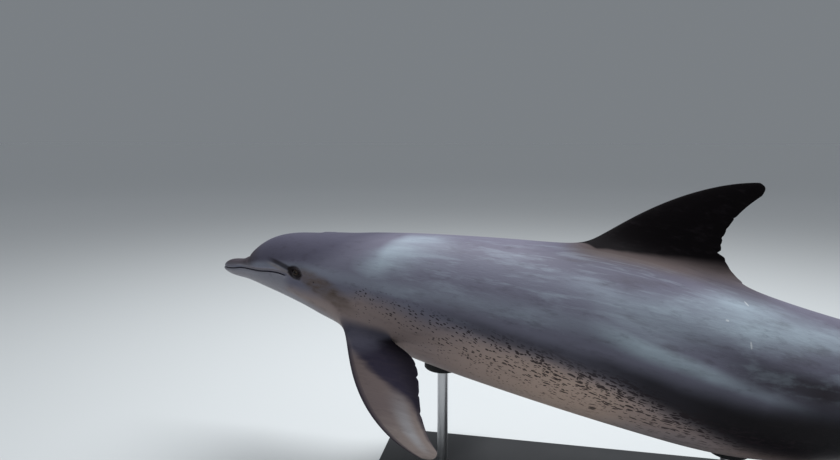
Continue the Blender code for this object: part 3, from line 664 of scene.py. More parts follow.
def bitten(span, chord, bites):
    """How far forward a blade's trailing edge is worn. A negative depth is where it bulges."""
    worn = sum(depth * hump(span - at, reach) for at, depth, reach in bites)
    return worn * smooth(chord, *WORN_CHORD) * smooth(span, *WORN_SPAN)


PAINT_INSET = 0.0002  # keeps the painted skin inside the solid form


def skin_mesh():
    """The finished skin in its pose, with its straight form kept in attributes."""
    mesh = smooth_mesh(skin_cage())
    straight, normals = vectors(mesh.vertices, "co"), vectors(mesh.vertices, "normal")
    s, y, z = straight[:, 0] / LENGTH, straight[:, 1], straight[:, 2]
    around = np.degrees(np.arctan2(abs(y), z - belt(s) * LENGTH))
    lips = z - mouth(s) * LENGTH
    dorsal, flipper_span, fluke_span, chord = (read(mesh, n) for n in ("dorsal", "flipper", "fluke", "chord"))
    on_body = 1 - smooth(dorsal + flipper_span + fluke_span, 0.0, 0.10)
    relief = mouth_relief(s, lips) + beak_relief(s, around, lips)
    relief += blowhole_relief(s, y, around) + head_relief(s, around)
    relief += (flank_relief(s, around) + belly_relief(s, y, around)) * on_body
    shaped = straight + normals * (relief - PAINT_INSET)[:, None]
    shaped[:, 0] += overbite(s, lips)
    shaped[:, 0] -= bitten(dorsal, chord, DORSAL_BITES) + bitten(flipper_span, chord, FLIPPER_BITES)
    shaped[:, 0] -= bitten(fluke_span, chord, FLUKE_BITES)
    mesh.vertices.foreach_set("co", pose(shaped).astype(np.float32).ravel())
    kept = {"straight": shaped, "around": around, "lips": lips, "rise": z - back(s) * LENGTH}
    for name, values in kept.items():
        write(mesh, name, values)
    mesh.shade_smooth()
    mesh.update()
    return mesh


def add_piece(name, mesh, material):
    made = bpy.data.objects.new(name, mesh)
    bpy.context.scene.collection.objects.link(made)
    made.data.materials.clear()
    made.data.materials.append(material)
    return made


# ---- The skin: its colours ----
# Matt paint, sprayed and flecked by brush over the cast: a violet-grey cape, pale and dusky bands along the
# flanks, a fawn belly with dark flecks, near-black fins, a pale jaw, and a dark patch and stripe at the eye.
# Light and shade are painted in as well: painted sunlight and sheen in the pale bands and on the flipper,
# painted shade in the dusky band, on the lower rear flank, on the fins and on the flipper's rear half, a
# painted shadow over the top of the head and beak, and painted light reflected up onto the belly.


class Shade:
    """A value in a material's nodes. Sums and products of it add Math nodes."""

    def __init__(self, tree, socket=None):
        self.tree = tree
        self.socket = socket

    def node(self, kind, settings=None, values=None):
        """Any node: its settings are set first, then its sockets take numbers or links."""
        made = self.tree.nodes.new(kind)
        for key, value in (settings or {}).items():
            setattr(made, key, value)
        for key, value in (values or {}).items():
            if isinstance(value, Shade):
                self.tree.links.new(value.socket, made.inputs[key])
            else:
                made.inputs[key].default_value = value
        return made

    def of(self, kind, output, settings=None, values=None):
        """One output of a new node."""
        return Shade(self.tree, self.node(kind, settings, values).outputs[output])

    def math(self, operation, *values):
        return self.of("ShaderNodeMath", 0, {"operation": operation}, dict(enumerate(values)))

    def __add__(self, other):
        return self.math("ADD", self, other)

    def __radd__(self, other):
        return self.math("ADD", other, self)

    def __sub__(self, other):
        return self.math("SUBTRACT", self, other)

    def __rsub__(self, other):
        return self.math("SUBTRACT", other, self)

    def __mul__(self, other):
        return self.math("MULTIPLY", self, other)

    def __rmul__(self, other):
        return self.math("MULTIPLY", other, self)

    def __truediv__(self, other):
        return self.math("DIVIDE", self, other)

    def root(self):
        return self.math("SQRT", self)

    def size(self):
        return self.math("ABSOLUTE", self)

    def most(self, other):
        return self.math("MAXIMUM", self, other)

    def ramp(self, low, high):
        """0 at low and 1 at high, with an even ease between them. low may be over high."""
        values = {"Value": self, "From Min": low, "From Max": high}
        return self.of("ShaderNodeMapRange", "Result", {"interpolation_type": "SMOOTHSTEP"}, values)

    def attribute(self, name, output="Fac"):
        """What the mesh keeps under this name."""
        return self.of("ShaderNodeAttribute", output, {"attribute_name": name})

    def along(self, knots):
        """A value read off (at, value) knots, even between them."""
        total = knots[0][1]
        for (start, low), (end, high) in zip(knots, knots[1:]):
            values = {"Value": self, "From Min": start, "From Max": end, "To Max": high - low}
            total = self.of("ShaderNodeMapRange", "Result", None, values) + total
        return total

    def part(self, axis):
        """One part of this vector."""
        return self.of("ShaderNodeSeparateXYZ", axis, None, {0: self})

    def stretched(self, x, y, z):
        """A vector with its parts multiplied."""
        values = {0: self, 1: (x, y, z)}
        return self.of("ShaderNodeVectorMath", 0, {"operation": "MULTIPLY"}, values)

    def shifted(self, other):
        """This vector with another one added."""
        return self.of("ShaderNodeVectorMath", 0, {"operation": "ADD"}, {0: self, 1: other})

    def length(self):
        """The length of this vector."""
        return self.of("ShaderNodeVectorMath", "Value", {"operation": "LENGTH"}, {0: self})

    def noise(self, scale, detail=3.0, roughness=0.55):
        """Cloudy noise over this vector, about 0.5."""
        values = {"Vector": self, "Scale": scale, "Detail": detail, "Roughness": roughness}
        return self.of("ShaderNodeTexNoise", 0, None, values)

    def blend(self, first, second, share):
        """The first colour turned to the second by a share."""
        settings = {"data_type": "RGBA", "clamp_factor": True}
        return self.of("ShaderNodeMix", 2, settings, {0: share, 6: first, 7: second})

    def mixed(self, other, share):
        """This colour turned to another one by a share."""
        return self.blend(self, other, share)

    def bump(self, height, distance, strength=1.0, under=None):
        values = {"Height": height, "Distance": distance, "Strength": strength}
        if under is not None:
            values["Normal"] = under
        return self.of("ShaderNodeBump", 0, None, values)


def new_material(name, **settings):
    """A Principled material, with its plain settings made on the shader's own sockets."""
    material = bpy.data.materials.new(name)
    material.use_nodes = True
    shader = material.node_tree.nodes["Principled BSDF"]
    for key, value in settings.items():
        shader.inputs[key.replace("_", " ")].default_value = value
    return material, shader, Shade(material.node_tree)


def drive(tree, shader, **values):
    """Feeds the shader's sockets with things that vary over the surface."""
    for key, value in values.items():
        tree.tree.links.new(value.socket, shader.inputs[key.replace("_", " ")])


def spot(s, around, middle, reach, slope=0.0):
    """A soft patch on the skin: (station, degrees) in the middle, reach likewise, its long axis falling by
    slope degrees for each whole length. It is 1 in the middle and 0 at its edge."""
    along = (s - middle[0]) / reach[0]
    aside = (around - middle[1] - (s - middle[0]) * slope) / reach[1]
    return (along * along + aside * aside).ramp(1.0, 0.0)


CAPE = (0.150, 0.142, 0.185, 1)  # the back
HOOD = (0.066, 0.062, 0.090, 1)  # the head's top, partly painted cast shadow, and the back before the fin
FLANK = (0.170, 0.167, 0.216, 1)
PALE = (0.400, 0.470, 0.530, 1)  # the blaze and streaks along the flank, partly painted sunlight and sheen
BELLY = (0.300, 0.232, 0.215, 1)
WARM_BELLY_AND_BOUNCE = (0.600, 0.440, 0.350, 1)  # the warm middle of the belly, partly painted bounce light
# The throat and lower jaw; also painted reflected light along the lower edge of the belly.
JAW = (0.276, 0.270, 0.305, 1)
TAN = (0.275, 0.235, 0.215, 1)  # the lips and the outer flipper
BROWN = (0.132, 0.097, 0.081, 1)  # behind the eye and at the foot of the fin
UMBER = (0.055, 0.042, 0.042, 1)  # the beak, partly painted shadow on top, the flipper and the tail
SHADOW = (0.030, 0.024, 0.028, 1)  # painted shade on the lower rear flank; the flukes' own dark tone
DUSKY_AND_SHADE = (0.014, 0.012, 0.015, 1)  # the band between flank and belly, partly painted shade
PATCH = (0.013, 0.009, 0.010, 1)  # round the eye, and its stripe to the beak
FLECK = (0.020, 0.014, 0.017, 1)
INK = (0.016, 0.014, 0.026, 1)  # the lips' line, the flippers' edges, and painted shade on their rear half
# Near-black: the fins' own dark tone deepened by painted shade; also the deepest painted shade of the flank
# and the flipper.
FIN = (0.0050, 0.0036, 0.0044, 1)
SCAR = (0.560, 0.580, 0.600, 1)

# The edges and middles of the markings along the body, as (station, degrees from the back).
CAPE_EDGE = ((0.10, 66), (0.20, 52), (0.45, 44), (0.70, 60), (0.90, 80))
BELLY_EDGE = ((0.16, 108), (0.24, 92), (0.32, 100), (0.43, 106), (0.50, 117), (0.60, 140), (0.72, 158))
FLECK_EDGE = ((0.22, 80), (0.29, 88), (0.375, 97), (0.43, 102), (0.50, 110), (0.60, 128), (0.72, 140))
DUSK_AND_SHADE_LINE = ((0.30, 88), (0.375, 98), (0.43, 101), (0.47, 104), (0.50, 109), (0.56, 120), (0.60, 128), (0.72, 136))
PALE_STREAK = ((0.45, 78), (0.495, 85), (0.54, 90), (0.594, 97), (0.65, 107), (0.75, 122))
PALE_SADDLE = (
    (0.24, 60), (0.265, 42), (0.29, 34), (0.34, 44), (0.44, 55), (0.47, 66), (0.50, 65), (0.56, 46),
    (0.66, 43), (0.80, 50),
)

# How wide the markings are along the body, as (station, degrees), and how strong, as (station, share).
SADDLE_WIDTH = (
    (0.22, 10), (0.26, 28), (0.30, 26), (0.34, 14), (0.44, 12), (0.50, 22), (0.60, 24), (0.72, 16),
)
SADDLE_SHARE = (
    (0.215, 0.0), (0.25, 0.78), (0.285, 0.42), (0.325, 0.05), (0.41, 0.08), (0.47, 0.46), (0.53, 0.46),
    (0.575, 0.86), (0.68, 0.50), (0.80, 0.0),
)
STREAK_WIDTH = ((0.45, 9), (0.55, 7), (0.65, 5))
STREAK_SHARE = ((0.44, 0.2), (0.49, 1.0), (0.55, 0.85), (0.585, 0.45), (0.62, 0.28), (0.67, 0.0))
DUSK_AND_SHADE_WIDTH = ((0.30, 5), (0.40, 7), (0.47, 9), (0.50, 12), (0.56, 19), (0.60, 24), (0.65, 36))
DUSK_AND_SHADE_SHARE = (
    (0.30, 0.0), (0.36, 0.45), (0.43, 0.48), (0.50, 0.90), (0.56, 0.98), (0.70, 0.95), (0.90, 0.3),
)
REAR_SHADE_SHARE = ((0.55, 0.0), (0.59, 0.60), (0.65, 0.88), (0.80, 0.3))
APRON_SHARE = ((0.375, 0.0), (0.43, 0.80), (0.470, 0.80), (0.500, 0.55), (0.535, 0.10), (0.60, 0.0))
UNDERSIDE_BOUNCE_SHARE = ((0.30, 0.0), (0.36, 0.45), (0.50, 0.70), (0.55, 0.40), (0.60, 0.0))
WARM_BELLY_AND_BOUNCE_SHARE = (
    (0.31, 0.0), (0.36, 0.34), (0.43, 0.66), (0.468, 0.62), (0.502, 0.24), (0.545, 0.04), (0.57, 0.0),
)
TAIL_SHARE = ((0.68, 0), (0.88, 0.70), (1.0, 0.85))


def flank_colours(at, skin):
    """The cape, the flank and the belly, with the pale and the dusky bands that run along them. The pale
    bands are partly painted sunlight, the dusky band partly painted shade, the lower rear flank painted
    shade, and the belly partly painted reflected light.
    """
    s, around, drift, streaks = skin["s"], skin["around"], skin["drift"], skin["streaks"]
    colour = at.blend(CAPE, FLANK, (around - s.along(CAPE_EDGE) - 30 * drift).ramp(-22, 18))
    # Partly a painted cast shadow over the top of the head.
    hood_and_shadow = (s + 0.05 * drift + 0.0011 * around).ramp(0.285, 0.225) * around.ramp(84, 62)
    colour = colour.mixed(HOOD, hood_and_shadow * 0.82)
    below = (around - s.along(BELLY_EDGE) - 14 * drift).ramp(-9, 12)
    colour = colour.mixed(BELLY, below * (0.92 + 0.5 * streaks))

    # The pale saddle and streak: partly a pale blaze, partly painted sunlight on the upper flank and a
    # painted highlight along the muscle band.
    saddle = (around - s.along(PALE_SADDLE) - 12 * drift).size()
    strength = s.along(SADDLE_SHARE)
    pale = (saddle / s.along(SADDLE_WIDTH)).ramp(1.25, 0.1)
    pale = pale * (strength + 1.3 * streaks * strength.ramp(0.0, 0.4))
    streak = ((around - s.along(PALE_STREAK) - 5 * drift) / s.along(STREAK_WIDTH)).size()
    pale = pale.most(streak.ramp(1.2, 0.1) * s.along(STREAK_SHARE) * (1 + streaks))
    colour = colour.mixed(PALE, pale * 0.9)

    # Partly painted shade: the dusky band is part marking, part painted shade where the flank turns from the
    # light.
    dusk_and_shade = ((around - s.along(DUSK_AND_SHADE_LINE) - 6 * drift) / s.along(DUSK_AND_SHADE_WIDTH)).size()
    colour = colour.mixed(DUSKY_AND_SHADE, dusk_and_shade.ramp(1.35, 0.25) * s.along(DUSK_AND_SHADE_SHARE))
    # Painted shade: under the rear flank the band deepens to near-black.
    colour = colour.mixed(FIN, dusk_and_shade.ramp(1.30, 0.35) * s.ramp(0.52, 0.60) * s.ramp(0.76, 0.66) * 0.75)
    # Painted shade over the lower rear flank, which turns away from the light.
    rear_shade = ((around - 84 - 60 * (s - 0.58) - 8 * drift) / 15).size().ramp(1.2, 0.2)
    colour = colour.mixed(SHADOW, rear_shade * s.along(REAR_SHADE_SHARE))
    colour = colour.mixed(HOOD, (around + 20 * drift).ramp(56, 22) * s.along(APRON_SHARE))
    # Painted reflected light: the lower edge of the belly paled towards the bluish jaw colour.
    colour = colour.mixed(JAW, around.ramp(135, 158) * s.along(UNDERSIDE_BOUNCE_SHARE))
    # Partly painted reflected light: the middle of the belly warmed and lightened as if lit from below.
    colour = colour.mixed(WARM_BELLY_AND_BOUNCE, (around - s.along(FLECK_EDGE)).ramp(2, 16) * s.along(WARM_BELLY_AND_BOUNCE_SHARE))
    # Partly mottled tone, partly painted dappled light and shade over the front of the upper flank.
    on_flank = s.ramp(0.22, 0.30) * around.ramp(102, 84) * around.ramp(14, 36)
    colour = colour.mixed(PALE, skin["mottle"].ramp(0.03, 0.20) * on_flank * 0.26)
    colour = colour.mixed(UMBER, skin["mottle"].ramp(-0.03, -0.20) * on_flank * 0.30)
    return colour.mixed(UMBER, s.along(TAIL_SHARE))


# How thick the flecks lie, as (station, share): the round ones and the long ones. They slant downwards to the
# rear by FLECK_SLANT metres to a metre.
DOT_SHARE = ((0.215, 0.0), (0.235, 0.52), (0.30, 0.66), (0.42, 0.78), (0.52, 0.50), (0.60, 0.0))
DASH_SHARE = ((0.34, 0.0), (0.42, 0.74), (0.52, 0.95), (0.64, 0.85), (0.80, 0.0))
FLECK_SLANT = 0.20
FLECK_WAVER = (0.030, 0.012, 0.012)
LEAST_FLECK = 0.25  # flecks smaller than this, in shares of a cell, are left out


def fleck_layer(lay, stretch, scale, share):
    """Dark flecks of mixed sizes, one to a cell. Where share is under LEAST_FLECK there is none."""
    values = {"Vector": lay.stretched(stretch, 1, 1), "Scale": scale, "Randomness": 1.0}
    cells = lay.node("ShaderNodeTexVoronoi", {"feature": "F1"}, values)
    apart = Shade(lay.tree, cells.outputs["Distance"])
    chance = Shade(lay.tree, cells.outputs["Color"]).part("X")
    return (chance * share - LEAST_FLECK - apart).ramp(-0.06, 0.05)


def flecks(colour, skin):
    """Round dots behind the flipper that crowd and lengthen into streaks to the rear."""
    s, around, straight = skin["s"], skin["around"], skin["straight"]
    below = around - s.along(FLECK_EDGE) - 10 * skin["drift"]
    clumps = straight.stretched(0.6, 1, 1).noise(13.0, 2.0) - 0.5
    crowd = below.ramp(44, 6) * 0.34 - 0.17 + clumps * 0.30
    slant = straight.of("ShaderNodeCombineXYZ", 0, None, {"Z": straight.part("X") * FLECK_SLANT})
    values = {"Vector": straight, "Scale": 24.0, "Detail": 2.0}
    waver = straight.of("ShaderNodeTexNoise", "Color", None, values)
    lay = straight.shifted(slant).shifted(waver.stretched(*FLECK_WAVER))
    dots = fleck_layer(lay, 0.40, 285.0, s.along(DOT_SHARE) + crowd)
    dashes = fleck_layer(lay, 0.18, 255.0, s.along(DASH_SHARE) + crowd)
    shown = dots.most(dashes) * below.ramp(-5, 7) * skin["flipper"].ramp(0.06, 0.0)
    return colour.mixed(FLECK, shown * (0.22 + 0.66 * around.ramp(164, 132)))


# The lower edge of the dorsal fin's black, as (station, metres over the line of the back), how soft it is in
# metres, and the station where the black begins.
BLACK_EDGE = ((0.430, -0.009), (0.470, 0.000), (0.500, 0.012), (0.545, 0.030), (0.590, 0.050))
BLACK_SOFTNESS = ((0.44, 0.003), (0.56, 0.012))
BLACK_PROW = 0.424


def fin_colours(colour, skin):
    """Near-black fins, their dark tone deepened by painted shade. The flipper is dark, with painted shade,
    only on its rear half, has painted sheen near its tip and at its root, and is brown-grey in front.
    """
    s, drift, streaks = skin["s"], skin["drift"], skin["streaks"]
    over = skin["rise"] - s.along(BLACK_EDGE) + 0.02 * drift
    near_fin = s.ramp(0.405, 0.450) * s.ramp(0.640, 0.590) * skin["around"].ramp(36, 14)
    colour = colour.mixed(UMBER, over.ramp(-0.130, -0.030) * near_fin * 0.55)
    colour = colour.mixed(BROWN, over.ramp(-0.060, -0.010) * near_fin * 0.62)
    colour = colour.mixed(UMBER, over.ramp(-0.030, 0.000) * near_fin * 0.78)
    prow = (s - BLACK_PROW) * (1.15 * LENGTH) - skin["straight"].part("Y").size()
    # Partly painted shade: the side of the fin is painted near-black.
    black_and_shade = (over / s.along(BLACK_SOFTNESS)).ramp(-1.0, 1.0) * prow.ramp(-0.008, 0.006)
    colour = colour.mixed(FIN, black_and_shade * skin["dorsal"].ramp(0.0, 0.004))

    span, chord = skin["flipper"], skin["chord"]
    colour = colour.mixed(UMBER, span.ramp(0.0, 0.16) * 0.80)
    colour = colour.mixed(TAN, (span + 0.8 * streaks).ramp(0.55, 1.0) * 0.35)
    sheen = (chord - 0.54 + 0.2 * drift).size().ramp(0.24, 0.02)
    sheen = sheen * span.ramp(0.50, 0.84) * span.ramp(1.0, 0.92)
    colour = colour.mixed(PALE, sheen * (0.16 + 0.4 * streaks))
    # Painted shade: the upper rear half of the flipper, turned from the light, painted near-black.
    cap = (chord - 1.25 * span + 0.14 + 0.5 * drift + 0.3 * streaks).ramp(-0.10, 0.12) * span.ramp(0.01, 0.07)
    colour = colour.mixed(INK, cap * (0.95 + 0.3 * skin["fine"]))
    colour = colour.mixed(FIN, cap * (chord - 0.4 * span).ramp(0.35, 0.80) * 0.65)
    # A painted sheen of pale bluish light near the flipper's root.
    shoulder = span.ramp(0.30, 0.10) * span.ramp(0.0, 0.06) * (chord + drift).ramp(0.75, 0.45)
    colour = colour.mixed(FLANK, shoulder * 0.35)
    rim = chord.ramp(0.07, 0.02).most(chord.ramp(0.95, 0.99)) * span.ramp(0.08, 0.20)
    colour = colour.mixed(INK, rim * 0.8)
    return colour.mixed(SHADOW, (skin["fluke"] + 0.1 * drift).ramp(0.0, 0.35) * 0.55)


CHEEK_SPOT = ((0.190, 96), (0.052, 16), 330)  # the brown behind the eye, as spot takes it
PATCH_LENGTH, PATCH_HEIGHT = 0.0310, 0.0168  # half the size of the dark patch round the eye, in metres


def face_colours(colour, skin):
    """The pale jaw and lips, the dark beak with painted shadow over its top, the bridle stripes, and the
    patch round the eye.
    """
    s, around, lips, fine = skin["s"], skin["around"], skin["lips"], skin["fine"]
    throat = (around - 84 - 230 * s).ramp(-9, 12) * s.ramp(0.245, 0.14)
    jaw = lips.ramp(0.0015, -0.0030) * s.ramp(0.145, 0.128)
    colour = colour.mixed(JAW, throat.most(jaw) * 0.85)
    colour = colour.mixed(BROWN, spot(s, around, *CHEEK_SPOT) * (0.75 + 1.6 * fine))
    # Partly painted shadow over the top of the beak.
    colour = colour.mixed(UMBER, lips.ramp(0.004, 0.011) * s.ramp(0.085, 0.055) * 0.70)
    lip = (lips - 0.0052).size().ramp(0.0050, 0.0015) * s.ramp(0.137, 0.125) * s.ramp(0.030, 0.080)
    colour = colour.mixed(TAN, lip * 0.35)

    aft = (s - EYE_STATION) * LENGTH
    over = (EYE_ANGLE - around) * math.radians(HEAD_RADIUS)
    rise = over + 0.30 * aft
    reach = aft.ramp(-0.135, -0.080) * aft.ramp(0.004, -0.014)
    below = (rise + 0.013).size().ramp(0.008, 0.002)
    colour = colour.mixed(TAN, below * reach * 0.5)
    colour = colour.mixed(PATCH, rise.size().ramp(0.0100, 0.0030) * reach * 0.80)
    along = (aft - 0.40 * over + 0.008) / PATCH_LENGTH
    aside = (over + 0.30 * aft + 0.0010) / PATCH_HEIGHT
    patch = (along * along + aside * aside + 1.4 * fine).ramp(1.35, 0.60)
    colour = colour.mixed(PATCH, patch * 0.97)
    line = lips.size().ramp(0.0019, 0.0008) * s.ramp(0.1345, 0.1315) * s.ramp(0.001, 0.006)
    colour = colour.mixed(INK, line)
    behind, above = aft - EAR_PLACE[0], over - EAR_PLACE[1]
    ear = (behind * behind + above * above).ramp(0.000005, 0.000001)
    return colour.mixed(INK, ear * 0.7)


# Each scar of the left side: (station, degrees from the back), its half size in both, and its slope in
# degrees to a station.
SCARS = (
    ((0.5815, 31.5), (0.0022, 1.6), 900), ((0.5800, 64.4), (0.0012, 3.2), 1200),
    ((0.5593, 51.2), (0.0022, 1.0), 0),
)


def scars(colour, skin):
    """Faint long threads of paler skin over the flank, and a few old scratches."""
    straight, s, around = skin["straight"], skin["s"], skin["around"]
    threads = (straight.stretched(0.06, 1, 1).noise(85.0, 3.0, 0.6) - 0.52).ramp(0.0, 0.12)
    flank = s.ramp(0.24, 0.32) * s.ramp(0.72, 0.60) * around.ramp(8, 24) * around.ramp(84, 62)
    colour = colour.mixed(PALE, threads * flank * 0.15)
    for middle, reach, slope in SCARS:
        mark = spot(s, around, middle, reach, slope) * straight.part("Y").ramp(0.0, -0.01)
        colour = colour.mixed(SCAR, mark.ramp(0.15, 0.7) * 0.8)
    return colour


def skin_material():
    material, shader, at = new_material("dolphin_skin", Specular_IOR_Level=0.06)
    straight = at.attribute("straight", "Vector")
    names = ("around", "lips", "rise", "dorsal", "flipper", "fluke", "chord")
    skin = {name: at.attribute(name) for name in names}
    skin["straight"] = straight
    skin["s"] = straight.part("X") / LENGTH
    skin["drift"] = straight.stretched(1, 2.2, 2.2).noise(5.0, 4.0) - 0.5
    skin["streaks"] = straight.stretched(0.35, 5, 5).noise(6.0, 5.0, 0.6) - 0.5
    skin["mottle"] = straight.stretched(0.45, 1.8, 1.8).noise(13.0, 5.0, 0.62) - 0.5
    skin["fine"] = straight.stretched(1, 3, 3).noise(26.0, 5.0, 0.6) - 0.5
    colour = flank_colours(at, skin)
    colour = flecks(colour, skin)
    colour = scars(colour, skin)
    colour = fin_colours(colour, skin)
    colour = face_colours(colour, skin)
    colour = colour.mixed(SHADOW, (skin["fine"] + 0.4 * skin["streaks"]).ramp(0.02, 0.30) * 0.28)

    grain = straight.noise(180.0, 4.0, 0.6)
    pores = straight.stretched(1, 4, 4).noise(70.0, 4.0, 0.6)
    normal = at.bump(pores, 0.0009, 0.35)
    normal = at.bump(grain, 0.0004, 0.30, normal)
    fins = skin["flipper"].ramp(0.0, 0.1).most(skin["dorsal"].ramp(0.0, 0.01))
    roughness = 0.46 + 0.18 * (pores - 0.5) + 0.12 * skin["drift"] + 0.4 * fins
    drive(at, shader, Base_Color=colour, Roughness=roughness, Normal=normal)
    return material


FLESH = (
    "head", "lower_jaw", "chest", "trunk", "tail_stock", "tail_end", "dorsal_fin", "flipper_left",
    "flipper_right", "fluke_left", "fluke_right",
)
skin = add_piece("skin", skin_mesh(), skin_material())
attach(skin, "root")
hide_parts(*FLESH)


# ---- The eyes ----
# Glass eyes, set into the lids from inside: a dark brown iris with a long dark pupil behind a clear bulging
# front, turned to look sideways and a little forward. Sizes are in metres.

IRIS_DARK, IRIS_LIGHT = (0.020, 0.011, 0.006, 1), (0.040, 0.022, 0.012, 1)
EYE_WHITE = (0.012, 0.008, 0.007, 1)  # nearly black in this animal
PUPIL = (0.0015, 0.0012, 0.0015, 1)
PUPIL_LENGTH, PUPIL_HEIGHT, PUPIL_DROP = 0.0052, 0.0030, 0.0006
IRIS_EDGE = (0.0080, 0.0098)
CORNEA_HEIGHT, CORNEA_SPREAD = 0.0006, 0.45  # the bulge, and how far it reaches, in radians


def eye_material():
    material, shader, at = new_material("eye_glass", Roughness=0.05, Specular_IOR_Level=0.28)
    local = at.attribute("gaze", "Vector")
    u, v = local.part("X"), local.part("Y")
    long = u / PUPIL_LENGTH
    tall = (v + PUPIL_DROP) / PUPIL_HEIGHT
    pupil = (long * long + tall * tall).ramp(1.25, 0.85)
    iris = (u * u + v * v).root()
    streaks = local.stretched(1, 1, 0).noise(900.0, 3.0)
    colour = at.blend(IRIS_DARK, IRIS_LIGHT, streaks)
    colour = colour.mixed(EYE_WHITE, iris.ramp(*IRIS_EDGE))
    colour = colour.mixed(PUPIL, pupil)
    drive(at, shader, Base_Color=colour)
    return material


def ring_quads(first, second, count):
    """Quads between two closed rings of as many points, that begin at these two."""
    quads = []
    for k in range(count):
        after = (k + 1) % count
        quads.append((first + k, first + after, second + after, second + k))
    return quads


def eyeball(hand, columns=64, rows=40):
    """A ball turned about the line of sight, with a clear bulge in front."""
    centre, forward, up, outward = eye_frame(hand)
    points, faces, gaze = [], [], []
    for r in range(rows + 1):
        tilt = math.pi * r / rows
        radius = EYE_RADIUS - CORNEA_HEIGHT * (1 - math.exp(-((tilt / CORNEA_SPREAD) ** 4)))
        for c in range(columns):
            turn = 2 * math.pi * c / columns
            u = radius * math.sin(tilt) * math.cos(turn)
            v = radius * math.sin(tilt) * math.sin(turn)
            points.append(centre * LENGTH + forward * u + up * v + outward * radius * math.cos(tilt))
            gaze.append((u, v, math.cos(tilt)))
    for r in range(rows):
        faces += ring_quads(r * columns, (r + 1) * columns, columns)
    mesh = bpy.data.meshes.new("eyeball")
    mesh.from_pydata([tuple(p) for p in pose(points)], [], faces)
    write(mesh, "gaze", np.array(gaze))
    bm = bmesh.new()
    bm.from_mesh(mesh)
    bmesh.ops.remove_doubles(bm, verts=bm.verts, dist=1e-6)
    bmesh.ops.recalc_face_normals(bm, faces=bm.faces)
    bm.to_mesh(mesh)
    bm.free()
    mesh.shade_smooth()
    return mesh


glass = eye_material()
for hand, name in ((-1, "eye_left"), (1, "eye_right")):
    eye = add_piece(name + "_glass", eyeball(hand), glass)
    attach(eye, "root")
    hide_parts(name)


# ---- The stand: its base ----
# A flat board of 32 mm plate with round corners and a softly rounded upper edge, in fine matt black powder
# coat.

BASE_CORNER = 0.06
BASE_EDGE = 0.008
COAT_DARK, COAT_LIGHT = (0.020, 0.020, 0.022, 1), (0.032, 0.032, 0.034, 1)


def powder_coat():
    material, shader, at = new_material("powder_coat", Specular_IOR_Level=0.35)
    place = at.of("ShaderNodeTexCoord", "Object")
    orange_peel = place.noise(420.0, 2.0)
    worn = place.noise(7.0, 4.0)
    colour = at.blend(COAT_DARK, COAT_LIGHT, worn)
    normal = at.bump(orange_peel, 0.0004, 0.5)
    drive(at, shader, Base_Color=colour, Roughness=0.46 + 0.16 * worn, Normal=normal)
    return material


def rounded_board(low, high):
    """The board's solid between its two corners."""
    bm = bmesh.new()
    bmesh.ops.create_cube(bm, size=1)
    bmesh.ops.scale(bm, verts=bm.verts, vec=high - low)
    bmesh.ops.translate(bm, verts=bm.verts, vec=(low + high) / 2)
    upright = [e for e in bm.edges if abs(e.verts[0].co.z - e.verts[1].co.z) > (high.z - low.z) / 2]
    bmesh.ops.bevel(bm, geom=upright, offset=BASE_CORNER, segments=24, affect="EDGES", profile=0.5)
    upper = [e for e in bm.edges if min(v.co.z for v in e.verts) > high.z - 1e-6]
    bmesh.ops.bevel(bm, geom=upper, offset=BASE_EDGE, segments=6, affect="EDGES", profile=0.5)
    mesh = bpy.data.meshes.new("rounded_board")
    bm.to_mesh(mesh)
    bm.free()
    mesh.shade_smooth()
    mesh.set_sharp_from_angle(angle=math.radians(30))
    return mesh


board = add_piece("base_board", rounded_board(*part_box("stand_base")), powder_coat())
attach(board, "root")
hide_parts("stand_base")


# ---- The stand: its rods and flanges ----
# Two brushed stainless rods, each stepped into a turned flange that is held down by four button-head screws.

SCREW_CIRCLE, SCREW_RADIUS = 0.034, 0.0046
SCREW_SIDES = 36
# The button head, as (share of its radius, height), and its hexagon socket.
SCREW_HEAD = ((1.0, 0.0), (1.0, 0.0011), (0.88, 0.0021), (0.62, 0.0027))
SOCKET_REACH, SOCKET_FLOOR = 0.42, 0.0012  # corner to middle in shares of the radius, and the floor's height
FLANGE_RIM = 0.0055  # the flange's height outside its collar
FLANGE_EDGE, FLANGE_FOOT, SCREW_SEAT = 0.0015, 0.0006, 0.0005
COLLAR_RADIUS = 0.0200
COLLAR_FILLET, COLLAR_EDGE = (0.0015, 0.0005), 0.0008  # what it widens by at its foot, and its chamfers
ROD_CHAMFER = 0.001
STEEL_DARK, STEEL_LIGHT = (0.50, 0.50, 0.51, 1), (0.62, 0.62, 0.63, 1)


def turned(profile, middle, sides=96):
    """Points and faces of a solid turned about an upright axis, from (radius, height) steps foot to top."""
    points, faces = [], []
    for radius, height in profile:
        for c in range(sides):
            turn = 2 * math.pi * c / sides
            points.append((middle.x + radius * math.cos(turn), middle.y + radius * math.sin(turn), height))
    for r in range(len(profile) - 1):
        faces += ring_quads(r * sides, (r + 1) * sides, sides)
    faces.append(tuple(range(sides - 1, -1, -1)))
    faces.append(tuple(range(len(points) - sides, len(points))))
    return points, faces


def solid_mesh(name, parts, crease=40):
    """One mesh of several (points, faces) parts, smooth up to the crease angle in degrees."""
    points, faces = [], []
    for part_points, part_faces in parts:
        first = len(points)
        points += part_points
        faces += [tuple(first + k for k in face) for face in part_faces]
    mesh = bpy.data.meshes.new(name)
    mesh.from_pydata(points, [], faces)
    mesh.shade_smooth()
    mesh.set_sharp_from_angle(angle=math.radians(crease))
    return mesh


